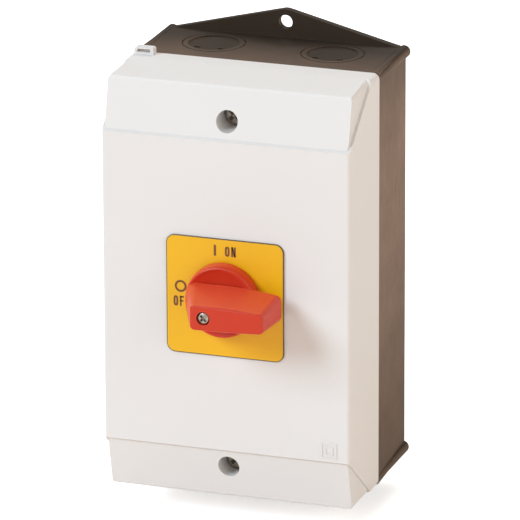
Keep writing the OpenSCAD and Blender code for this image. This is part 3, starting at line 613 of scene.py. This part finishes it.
# %% Rule: a compression spring with closed end coils
def build_spring_tree():
    tree, enter, leave = new_geometry_tree("coil_spring", [
        ("Coil Radius", "NodeSocketFloat"), ("Wire", "NodeSocketFloat"),
        ("Length", "NodeSocketFloat"), ("Turns", "NodeSocketFloat"),
        ("Place", "NodeSocketVector"), ("Material", "NodeSocketMaterial"),
    ])
    link = tree.links.new
    spiral = add_node(tree, "GeometryNodeCurveSpiral", (-900, 200), in_Resolution=28)
    link(enter.outputs["Turns"], spiral.inputs["Rotations"])
    link(enter.outputs["Coil Radius"], spiral.inputs["Start Radius"])
    link(enter.outputs["Coil Radius"], spiral.inputs["End Radius"])
    along = add_node(tree, "GeometryNodeSplineParameter", (-1100, -300))
    share = along.outputs["Factor"]
    turn = math_node(tree, (-900, -300), "MULTIPLY", share, enter.outputs["Turns"])
    first = math_node(tree, (-700, -200), "MULTIPLY", turn, enter.outputs["Wire"])
    left = math_node(tree, (-700, -350), "SUBTRACT", enter.outputs["Turns"], turn)
    ends = math_node(tree, (-500, -350), "MULTIPLY", left, enter.outputs["Wire"])
    last = math_node(tree, (-300, -350), "SUBTRACT", enter.outputs["Length"], ends)
    ends_room = math_node(tree, (-900, -500), "MULTIPLY", enter.outputs["Wire"], 2.0)
    free_room = math_node(tree, (-700, -500), "SUBTRACT", enter.outputs["Length"], ends_room)
    free_turns = math_node(tree, (-700, -650), "SUBTRACT", enter.outputs["Turns"], 2.0)
    pitch = math_node(tree, (-500, -550), "DIVIDE", free_room, free_turns)
    beyond = math_node(tree, (-500, -700), "SUBTRACT", turn, 1.0)
    middle = math_node(tree, (-300, -550), "MULTIPLY_ADD", beyond, pitch, enter.outputs["Wire"])
    rise = math_node(tree, (-100, -300), "MAXIMUM", first, middle)
    height = math_node(tree, (100, -300), "MINIMUM", rise, last)
    where = add_node(tree, "GeometryNodeInputPosition", (-300, -50))
    parts = add_node(tree, "ShaderNodeSeparateXYZ", (-100, -50))
    moved = add_node(tree, "ShaderNodeCombineXYZ", (100, -50))
    link(where.outputs[0], parts.inputs[0])
    link(parts.outputs["X"], moved.inputs["X"])
    link(parts.outputs["Y"], moved.inputs["Y"])
    link(height, moved.inputs["Z"])
    stretch = add_node(tree, "GeometryNodeSetPosition", (-300, 200))
    link(spiral.outputs["Curve"], stretch.inputs["Geometry"])
    link(moved.outputs[0], stretch.inputs["Position"])
    wire = add_node(tree, "GeometryNodeCurvePrimitiveCircle", (-100, 400), in_Resolution=12)
    half = math_node(tree, (-300, 400), "MULTIPLY", enter.outputs["Wire"], 0.5)
    link(half, wire.inputs["Radius"])
    sweep = add_node(tree, "GeometryNodeCurveToMesh", (100, 200), in_Fill_Caps=True)
    link(stretch.outputs["Geometry"], sweep.inputs["Curve"])
    link(wire.outputs["Curve"], sweep.inputs["Profile Curve"])
    lay = add_node(tree, "GeometryNodeTransform", (300, 200))
    lay.inputs["Rotation"].default_value = (0, math.pi / 2, 0)
    link(sweep.outputs["Mesh"], lay.inputs["Geometry"])
    link(enter.outputs["Place"], lay.inputs["Translation"])
    close_tree(tree, lay.outputs["Geometry"], enter, leave)
    return tree


# %% Wind the three contact springs
spring_tree = build_spring_tree()
for node in ("contact_spring_1", "contact_spring_2", "contact_spring_3"):
    low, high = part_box(node)
    wire = 0.5 * MM
    coil = (high[2] - low[2] - wire) / 2
    spring = grow(node + "_coil", spring_tree, {
        "Coil Radius": coil, "Wire": wire, "Length": high[0] - low[0] - wire, "Turns": 6.0,
        "Place": (low[0] + wire / 2, (low[1] + high[1]) / 2, (low[2] + high[2]) / 2),
        "Material": finish["spring_steel"],
    })
    smooth_with_sharp(spring, 50)
    take_place(spring, node)
print("spring faces:", len(spring.data.polygons))


# %% Rule: a cord swept round the rim of the box
def build_cord_tree():
    tree, enter, leave = new_geometry_tree("rim_cord", [
        ("Width", "NodeSocketFloat"), ("Height", "NodeSocketFloat"),
        ("Corner", "NodeSocketFloat"), ("Cord Size", "NodeSocketVector"),
        ("Place", "NodeSocketVector"), ("Material", "NodeSocketMaterial"),
    ])
    link = tree.links.new
    path = add_node(tree, "GeometryNodeCurvePrimitiveQuadrilateral", (-900, 200))
    link(enter.outputs["Width"], path.inputs["Width"])
    link(enter.outputs["Height"], path.inputs["Height"])
    bend = add_node(tree, "GeometryNodeFilletCurve", (-700, 200), mode="POLY")
    bend.inputs["Count"].default_value = 10
    link(path.outputs["Curve"], bend.inputs["Curve"])
    link(enter.outputs["Corner"], bend.inputs["Radius"])
    ring = add_node(tree, "GeometryNodeCurvePrimitiveCircle", (-700, -200), in_Resolution=16)
    oval = add_node(tree, "GeometryNodeTransform", (-500, -200))
    link(ring.outputs["Curve"], oval.inputs["Geometry"])
    link(enter.outputs["Cord Size"], oval.inputs["Scale"])
    sweep = add_node(tree, "GeometryNodeCurveToMesh", (-200, 200))
    link(bend.outputs["Curve"], sweep.inputs["Curve"])
    link(oval.outputs["Geometry"], sweep.inputs["Profile Curve"])
    lay = add_node(tree, "GeometryNodeTransform", (100, 200))
    lay.inputs["Rotation"].default_value = (math.pi / 2, 0, 0)
    link(sweep.outputs["Mesh"], lay.inputs["Geometry"])
    link(enter.outputs["Place"], lay.inputs["Translation"])
    close_tree(tree, lay.outputs["Geometry"], enter, leave)
    return tree


# %% Lay the gasket
low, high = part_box("cover_gasket")
cord_wide = 1.9 * MM
cord_deep = high[1] - low[1]
gasket = grow("cover_gasket_cord", build_cord_tree(), {
    "Width": high[0] - low[0] - cord_wide, "Height": high[2] - low[2] - cord_wide,
    "Corner": 2.5 * MM,
    "Cord Size": (cord_wide / 2, cord_deep / 2, 1.0),
    "Place": ((low[0] + high[0]) / 2, (low[1] + high[1]) / 2, (low[2] + high[2]) / 2),
    "Material": finish["seal_rubber"],
})
smooth_with_sharp(gasket, 50)
take_place(gasket, "cover_gasket")
print("gasket faces:", len(gasket.data.polygons))


# %% Rule: one screw with a cut thread, set down at every point
def build_screw_tree():
    tree, enter, leave = new_geometry_tree("screw_set", [
        ("Screw", "NodeSocketObject"), ("Thread Radius", "NodeSocketFloat"),
        ("Thread Pitch", "NodeSocketFloat"), ("Thread Length", "NodeSocketFloat"),
        ("Thread Start", "NodeSocketFloat"), ("Axis", "NodeSocketVector"),
        ("Slot Turn", "NodeSocketFloat"), ("Seed", "NodeSocketInt"),
        ("Material", "NodeSocketMaterial"),
    ])
    link = tree.links.new
    body = add_node(tree, "GeometryNodeObjectInfo", (-1000, 300))
    link(enter.outputs["Screw"], body.inputs["Object"])
    spiral = add_node(tree, "GeometryNodeCurveSpiral", (-800, 0), in_Resolution=20)
    pitch = enter.outputs["Thread Pitch"]
    turns = math_node(tree, (-1000, 0), "DIVIDE", enter.outputs["Thread Length"], pitch)
    ridge = math_node(tree, (-1000, -200), "MULTIPLY", pitch, 0.42)
    centre = math_node(tree, (-1000, -350), "SUBTRACT", enter.outputs["Thread Radius"], ridge)
    link(turns, spiral.inputs["Rotations"])
    link(centre, spiral.inputs["Start Radius"])
    link(centre, spiral.inputs["End Radius"])
    link(enter.outputs["Thread Length"], spiral.inputs["Height"])
    flank = add_node(tree, "GeometryNodeCurvePrimitiveCircle", (-800, -250), in_Resolution=4)
    link(ridge, flank.inputs["Radius"])
    sweep = add_node(tree, "GeometryNodeCurveToMesh", (-600, 0), in_Fill_Caps=True)
    link(spiral.outputs["Curve"], sweep.inputs["Curve"])
    link(flank.outputs["Curve"], sweep.inputs["Profile Curve"])
    start = add_node(tree, "ShaderNodeCombineXYZ", (-600, -250))
    link(enter.outputs["Thread Start"], start.inputs["Z"])
    sink = add_node(tree, "GeometryNodeTransform", (-400, 0))
    link(sweep.outputs["Mesh"], sink.inputs["Geometry"])
    link(start.outputs[0], sink.inputs["Translation"])
    both = add_node(tree, "GeometryNodeJoinGeometry", (-200, 200))
    link(body.outputs["Geometry"], both.inputs["Geometry"])
    link(sink.outputs["Geometry"], both.inputs["Geometry"])
    angle = add_node(tree, "FunctionNodeRandomValue", (-400, -300), data_type="FLOAT")
    link(enter.outputs["Seed"], angle.inputs["Seed"])
    link(enter.outputs["Slot Turn"], angle.inputs[3])
    twist = add_node(tree, "ShaderNodeCombineXYZ", (-200, -300))
    link(angle.outputs[1], twist.inputs["Z"])
    first = add_node(tree, "GeometryNodeInstanceOnPoints", (0, 200))
    link(enter.outputs["Geometry"], first.inputs["Points"])
    link(both.outputs["Geometry"], first.inputs["Instance"])
    link(enter.outputs["Axis"], first.inputs["Rotation"])
    spin = add_node(tree, "GeometryNodeRotateInstances", (200, 200))
    link(first.outputs["Instances"], spin.inputs["Instances"])
    link(twist.outputs[0], spin.inputs["Rotation"])
    close_tree(tree, spin.outputs["Instances"], enter, leave)
    return tree


# %% Turn one pan-head screw and cut its cross
def turn_screw(name, head_radius, head_height, shank_radius, length, turned=0.0):
    work = bmesh.new()
    core = shank_radius - 0.22 * MM
    edge = 0.3 * head_height
    rings = [
        (0, -length), (core - 0.4 * MM, -length), (core, -length + 0.5 * MM), (core, -head_height),
        (head_radius - 0.1 * MM, -head_height), (head_radius, -head_height + 0.1 * MM),
    ]
    for k in range(7):
        a = math.pi / 2 * k / 6
        rings.append((head_radius - edge * (1 - math.cos(a)) * 1.2, -edge + edge * math.sin(a)))
    rings.append((0, 0))
    spin_profile(work, rings, steps=40)
    for vert in work.verts:
        vert.co = Vector((vert.co.x, vert.co.z, -vert.co.y))
    bmesh.ops.recalc_face_normals(work, faces=work.faces)
    screw = object_from_work(name, work)
    reach, half, deep = 0.72 * head_radius, 0.21 * head_radius, 0.75 * head_height
    for angle in (turned, turned + math.pi / 2):
        arm = bmesh.new()
        bmesh.ops.create_cube(arm, size=2.0)
        for vert in arm.verts:
            taper = 0.75 if vert.co.z < 0 else 1.0
            x, y = vert.co.x * reach * taper, vert.co.y * half * taper
            z = -deep if vert.co.z < 0 else 0.2 * MM
            vert.co = Vector((x * math.cos(angle) - y * math.sin(angle),
                              x * math.sin(angle) + y * math.cos(angle), z))
        cut_away(screw, object_from_work("cross_arm", arm))
    smooth_with_sharp(screw, 35)
    return screw


# %% Cut one object out of another
def cut_away(piece, cutter):
    cut = piece.modifiers.new("cut", "BOOLEAN")
    cut.operation = "DIFFERENCE"
    cut.solver = "EXACT"
    cut.object = cutter
    shaped = settled_mesh(piece)
    piece.modifiers.clear()
    piece.data = shaped
    bpy.data.objects.remove(cutter)


# %% Boxes of the separate screws of one CAD part
def island_boxes(node):
    work = bmesh.new()
    work.from_mesh(frame["nodes"][node].data)
    bmesh.ops.remove_doubles(work, verts=work.verts, dist=same_place)
    left = set(work.verts)
    boxes = []
    while left:
        stack = [left.pop()]
        island = list(stack)
        while stack:
            for edge in stack.pop().link_edges:
                for vert in edge.verts:
                    if vert in left:
                        left.remove(vert)
                        stack.append(vert)
                        island.append(vert)
        boxes.append([
            (min(v.co[i] for v in island), max(v.co[i] for v in island)) for i in range(3)
        ])
    work.free()
    return sorted(boxes)


# %% Set every screw
screw_tree = build_screw_tree()
out_of_wall = (math.pi / 2, 0.0, 0.0)
to_the_right = (0.0, math.pi / 2, 0.0)
screw_sizes = {
    # node: axis, head height, shank radius, thread pitch, random turn of the cross
    "plate_screws": (out_of_wall, 2.2, 1.6, 0.6, 3.0),
    "link_screws": (out_of_wall, 1.8, 1.6, 0.6, 3.0),
    "switch_bolts": (out_of_wall, 2.2, 1.5, 0.5, 3.0),
    "terminal_screws": (to_the_right, 2.0, 1.6, 0.6, 3.0),
    "cover_screw_top": (out_of_wall, 2.9, 2.0, 0.7, 0.0),
    "cover_screw_bottom": (out_of_wall, 2.9, 2.0, 0.7, 0.0),
    "knob_screw": (out_of_wall, 2.0, 1.5, 0.5, 0.0),
}
for node, (axis, head_height, shank, pitch, slot_turn) in screw_sizes.items():
    tops, spans = [], []
    for x, y, z in island_boxes(node):
        if axis is out_of_wall:
            tops.append(((x[0] + x[1]) / 2, y[0], (z[0] + z[1]) / 2))
            spans.append((x[1] - x[0], y[1] - y[0]))
        else:
            tops.append((x[1], (y[0] + y[1]) / 2, (z[0] + z[1]) / 2))
            spans.append((y[1] - y[0], x[1] - x[0]))
    width, length = spans[0]
    turned = math.pi / 4 if slot_turn == 0.0 else 0.0
    master = turn_screw(
        node + "_master", width / 2, head_height * MM, shank * MM, length, turned
    )
    plain = 0.8 * MM
    screws = grow(node + "_set", screw_tree, {
        "Screw": master, "Thread Radius": shank * MM, "Thread Pitch": pitch * MM,
        "Thread Length": length - head_height * MM - 2 * plain, "Thread Start": -length + plain,
        "Axis": axis, "Slot Turn": slot_turn, "Seed": 4, "Material": finish["zinc_steel"],
    }, tops)
    bpy.data.objects.remove(master)
    smooth_with_sharp(screws, 35)
    take_place(screws, node)
    print(node, "screws:", len(tops), "faces:", len(screws.data.polygons))

# %% [markdown]
# ## The handle
#
# The handle is one red moulding: a round foot with a stepped shoulder, and a
# grip that rises from it, wide at the foot and narrow at the front. The foot is a
# profile spun round the axis. The grip is a loft: a stack of rounded outlines,
# each a mix of the outline at the foot and the outline at the front, closed by a
# front face with a soft edge.


# %% Sizes of the handle, from its CAD part
knob_low, knob_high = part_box("knob")
foot_back = -knob_high[1]
grip_front = -knob_low[1]
foot_radius = knob_high[2]
grip_reach = knob_high[0]
print("handle: foot radius %.1f mm, reach %.1f mm" % (foot_radius / MM, grip_reach / MM))


# %% Outline of the grip: straight flanks that curve in towards the long end
def rounded_outline(left, right, half_wide, half_end, corner, left_corner, steps=10):
    bend_from = 2 * MM
    points = []

    def flank(x):
        if x <= bend_from:
            return half_wide
        t = (x - bend_from) / (right - bend_from)
        return half_wide + (half_end - half_wide) * t ** 1.7

    flank_steps = 16
    for k in range(flank_steps + 1):
        x = left + left_corner + (right - left - corner - left_corner) * k / flank_steps
        points.append((x, flank(x)))
    side = flank(right - corner) - corner
    for k in range(1, steps):
        a = math.pi / 2 * (1 - k / steps)
        points.append((right - corner + corner * math.cos(a), side + corner * math.sin(a)))
    end_steps = 6
    for k in range(end_steps + 1):
        points.append((right, side - 2 * side * k / end_steps))
    points += [(x, -z) for x, z in reversed(points[flank_steps:flank_steps + steps])]
    for k in range(flank_steps + 1):
        x = right - corner - (right - left - corner - left_corner) * k / flank_steps
        points.append((x, -flank(x)))
    side = half_wide - left_corner
    for k in range(1, steps):
        a = math.pi / 2 * k / steps
        points.append((left + left_corner * (1 - math.sin(a)), -side - left_corner * math.cos(a)))
    for k in range(end_steps + 1):
        points.append((left, -side + 2 * side * k / end_steps))
    for k in range(1, steps):
        a = math.pi / 2 * (1 - k / steps)
        points.append((left + left_corner * (1 - math.sin(a)), side + left_corner * math.cos(a)))
    clean = [points[0]]
    for p in points[1:]:
        if math.dist(p, clean[-1]) > 1e-6:
            clean.append(p)
    return clean


# %% Cut the round recess of the screw
def cut_recess(piece, radius, back, front):
    work = bmesh.new()
    spin_profile(work, [(0, back), (radius, back), (radius, front), (0, front)], steps=48)
    bmesh.ops.recalc_face_normals(work, faces=work.faces)
    cut_away(piece, object_from_work("recess_cutter", work))


# %% Skin a stack of outlines and close both ends
def skin_rings(work, loops):
    count = len(loops[0])
    for lower, upper in zip(loops, loops[1:]):
        for k in range(count):
            n = (k + 1) % count
            work.faces.new((lower[k], lower[n], upper[n], upper[k]))
    work.faces.new(loops[0])
    work.faces.new(list(reversed(loops[-1])))


# %% Loft the grip and join it with the foot
# inset from the rim of the foot and height over its back, in millimetres
foot_edge = [
    (0.3, 0.0), (0.0, 0.3), (0.0, 1.8), (0.06, 3.0), (0.2, 4.2), (0.42, 5.0), (0.7, 5.45),
    (1.05, 5.6), (1.35, 5.52), (1.6, 5.35), (3.4, 4.75), (5.6, 4.2), (7.0, 4.1),
]


def build_handle():
    work = bmesh.new()
    stack = []
    out = foot_back
    foot = [(foot_radius - inset * MM, out + height * MM) for inset, height in foot_edge]
    spin_profile(work, [(0, out), (10.5 * MM, out), *foot, (0, foot[-1][1])])
    plinth = rounded_outline(left=-12.4 * MM, right=12.4 * MM, half_wide=7.1 * MM,
                             half_end=7.0 * MM, corner=2.6 * MM, left_corner=4.0 * MM)
    for height, flare in ((4.0, 0.5), (4.25, 0.2), (4.6, 0.0), (5.3, 0.0)):
        stack.append([
            work.verts.new((x, -out - height * MM, z + math.copysign(flare * MM, z)))
            for x, z in plinth
        ])
    skin_rings(work, stack)
    root = rounded_outline(left=-14.2 * MM, right=grip_reach, half_wide=7.1 * MM,
                           half_end=5.2 * MM, corner=2.6 * MM, left_corner=4.4 * MM)
    front = rounded_outline(left=-5.6 * MM, right=grip_reach - 0.7 * MM, half_wide=5.0 * MM,
                            half_end=4.0 * MM, corner=1.7 * MM, left_corner=1.7 * MM)
    root_out = foot_back + 5.0 * MM
    edge = 1.0 * MM
    rings = []
    levels = 14
    for k in range(levels + 1):
        t = k / levels
        depth = root_out + (grip_front - edge - root_out) * t
        rings.append(([
            ((1 - t) * a[0] + t * b[0], (1 - t) * a[1] + t * b[1]) for a, b in zip(root, front)
        ], depth))
    centre = (sum(p[0] for p in front) / len(front), 0)
    for k in range(1, 7):
        a = math.pi / 2 * k / 6
        inset = edge * (1 - math.cos(a))
        ring = []
        for x, z in front:
            span = math.dist((x, z), centre)
            keep = 1 - inset / span
            ring.append((centre[0] + (x - centre[0]) * keep, centre[1] + (z - centre[1]) * keep))
        rings.append((ring, grip_front - edge + edge * math.sin(a)))
    loops = [[work.verts.new((x, -depth, z)) for x, z in ring] for ring, depth in rings]
    skin_rings(work, loops)
    bmesh.ops.recalc_face_normals(work, faces=work.faces)
    return object_from_work("handle_moulding", work)


handle = build_handle()
screw_low, screw_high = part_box("knob_screw")
screw_face = -screw_low[1]
head_radius = (screw_high[2] - screw_low[2]) / 2
cut_recess(handle, head_radius + 0.45 * MM, screw_face - 2.2 * MM, grip_front + 2 * MM)
smooth_with_sharp(handle, 30)
handle.data.materials.append(finish["handle_red"])
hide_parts("knob")
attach(handle, "handle")
print("handle faces:", len(handle.data.polygons))

# %% [markdown]
# ## The legend
#
# The plate says I ON at the top and O OFF at the left, in a narrow letter of
# even stroke. The letters are flat bars and a ring, a few hundredths of a
# millimetre thick, laid on the plate like ink.

# %% Strokes of the legend
plate_front = -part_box("legend_plate")[0][1]
ink_thick = 0.03 * MM


def ink_bar(work, start, end, width):
    start, end = Vector(start), Vector(end)
    along = (end - start).normalized()
    side = Vector((-along.y, along.x)) * width / 2
    corners = [start + side, start - side, end - side, end + side]
    lower = [work.verts.new((p.x, -plate_front, p.y)) for p in corners]
    upper = [work.verts.new((p.x, -plate_front - ink_thick, p.y)) for p in corners]
    work.faces.new(lower)
    work.faces.new(list(reversed(upper)))
    for k in range(4):
        n = (k + 1) % 4
        work.faces.new((lower[k], upper[k], upper[n], lower[n]))


def ink_ring(work, centre, half_w, half_h, width, power=2.0, steps=40):
    def at(a, grow):
        c, s = math.cos(a), math.sin(a)
        x = math.copysign(abs(c) ** (2 / power), c) * (half_w - grow)
        z = math.copysign(abs(s) ** (2 / power), s) * (half_h - grow)
        return centre[0] + x, centre[1] + z

    rings = []
    for grow, lift in ((0, 0), (0, ink_thick), (width, ink_thick), (width, 0)):
        ring = []
        for k in range(steps):
            x, z = at(2 * math.pi * k / steps, grow)
            ring.append(work.verts.new((x, -plate_front - lift, z)))
        rings.append(ring)
    for a, b in zip(rings, rings[1:] + rings[:1]):
        for k in range(steps):
            n = (k + 1) % steps
            work.faces.new((a[k], a[n], b[n], b[k]))


# %% Write the legend
def build_legend():
    work = bmesh.new()
    stroke, stem, bowl, squareness = 0.86 * MM, 0.74 * MM, 0.8 * MM, 3.2
    letter = 1.95 * MM

    # I ON over the handle
    low, high = 17.15 * MM, 21.2 * MM
    height = high - low
    ink_bar(work, (-3.95 * MM, low - 0.1 * MM), (-3.95 * MM, high + 0.25 * MM), 0.95 * MM)
    ink_ring(work, (1.1 * MM, (low + high) / 2), letter / 2, height / 2, bowl, squareness)
    left = 2.65 * MM + stroke / 2
    right = 2.65 * MM + letter + 0.05 * MM - stroke / 2
    ink_bar(work, (left, low), (left, high), stem)
    ink_bar(work, (right, low), (right, high), stem)
    ink_bar(work, (left, high), (right, low), stem)

    # O and OFF beside it
    ink_ring(work, (-18.1 * MM, 3.2 * MM), 2.45 * MM, 2.45 * MM, stroke)
    low, high = -5.0 * MM, -0.85 * MM
    height = high - low
    left = -21.1 * MM
    ink_ring(work, (left + letter / 2, (low + high) / 2), letter / 2, height / 2, bowl, squareness)
    for k in range(2):
        x = left + (k + 1) * (letter + 0.5 * MM) + 0.1 * MM
        ink_bar(work, (x + stroke / 2, low), (x + stroke / 2, high), 0.66 * MM)
        ink_bar(work, (x, high - 0.32 * MM), (x + 1.75 * MM, high - 0.32 * MM), 0.64 * MM)
        ink_bar(work, (x, low + height * 0.52), (x + 1.55 * MM, low + height * 0.52), 0.6 * MM)
    bmesh.ops.recalc_face_normals(work, faces=work.faces)
    return object_from_work("legend_print", work)


legend = build_legend()
legend.data.materials.append(legend_ink)
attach(legend, "cover")
print("legend faces:", len(legend.data.polygons))

# %% [markdown]
# ## Floor, light and camera
#
# The box stands on a plain pale floor under soft light. One wide sun from the
# upper left gives the handle its shadow, and a very wide one from the front
# softens it. A third from above and a little behind lights the floor, and a
# fourth from the right keeps the side walls readable. The air and the floor are
# warm and the key light is cool, so shadows turn warm.

# %% Floor
floor_mesh = bpy.data.meshes.new("studio_floor")
floor_size = 12.0
floor_z = cad_low[2] - 0.3 * MM
floor_mesh.from_pydata(
    [(x * floor_size, y * floor_size, floor_z) for x, y in ((-1, -1), (1, -1), (1, 1), (-1, 1))],
    [], [(0, 1, 2, 3)],
)
floor = add_object("studio_floor", floor_mesh)
floor_paint = bpy.data.materials.new("floor_paint")
floor_paint.use_nodes = True
floor_tree = floor_paint.node_tree
floor_shader = floor_tree.nodes["Principled BSDF"]
ray = add_node(floor_tree, "ShaderNodeLightPath", (-600, 0))
seen = ray.outputs["Is Camera Ray"]
warm_bounce, pale = (0.93, 0.83, 0.74), (0.9, 0.9, 0.9)
tint = mix_colours(floor_tree, (-300, 0), seen, warm_bounce, pale)
floor_tree.links.new(tint, floor_shader.inputs["Base Color"])
floor_shader.inputs["Roughness"].default_value = 0.9
floor_shader.inputs["Emission Color"].default_value = (1, 1, 1, 1)
glow = math_node(floor_tree, (-300, -300), "MULTIPLY", seen, 0.62)
floor_tree.links.new(glow, floor_shader.inputs["Emission Strength"])
floor_mesh.materials.append(floor_paint)
print("floor at z = %.1f mm" % (floor_z / MM))


# %% Lights
def soft_sun(name, towards, strength, angle, tint):
    data = bpy.data.lights.new(name, "SUN")
    data.energy = strength
    data.angle = math.radians(angle)
    data.color = tint
    lamp = add_object(name, data)
    lamp.rotation_mode = "QUATERNION"
    lamp.rotation_quaternion = Vector(towards).to_track_quat("-Z", "Y")


soft_sun("key_light", (0.56, 0.68, -0.56), 2.5, 26, (0.67, 0.83, 0.97))
soft_sun("front_fill", (0.05, 1.0, 0.0), 0.6, 90, (1.0, 0.82, 0.73))
soft_sun("top_light", (0.12, -0.62, -1.0), 1.5, 46, (1.0, 0.97, 0.94))
soft_sun("side_fill", (-0.95, 0.3, -0.12), 1.75, 70, (1.0, 0.97, 0.92))
world = bpy.data.worlds.new("studio_air")
bpy.context.scene.world = world
world.use_nodes = True
air = world.node_tree.nodes["Background"]
air.inputs["Color"].default_value = (1.0, 0.88, 0.79, 1)
air.inputs["Strength"].default_value = 0.28
bpy.context.scene.view_settings.view_transform = "Standard"
print("lights:", len(bpy.data.lights))

# %% Camera
turn, tilt, roll = math.radians(18.83), math.radians(18.39), math.radians(-0.209)
distance = 2.4764
aim = Vector((0.01123, -0.06832, 0.01385))
right = Vector((math.cos(turn), math.sin(turn), 0))
forward = Vector(
    (-math.sin(turn) * math.cos(tilt), math.cos(turn) * math.cos(tilt), -math.sin(tilt))
)
up = right.cross(forward)
right_rolled = math.cos(roll) * right + math.sin(roll) * up
up_rolled = -math.sin(roll) * right + math.cos(roll) * up
camera_data = bpy.data.cameras.new("studio_camera")
camera_data.sensor_width = 36.0
camera_data.lens = 442.3
camera_data.clip_start, camera_data.clip_end = 0.1, 60.0
camera = add_object("studio_camera", camera_data)
axes = Matrix((right_rolled, up_rolled, -forward)).transposed().to_4x4()
camera.matrix_world = Matrix.Translation(aim - forward * distance) @ axes
bpy.context.scene.camera = camera
print("camera at", [round(v, 4) for v in camera.matrix_world.translation])
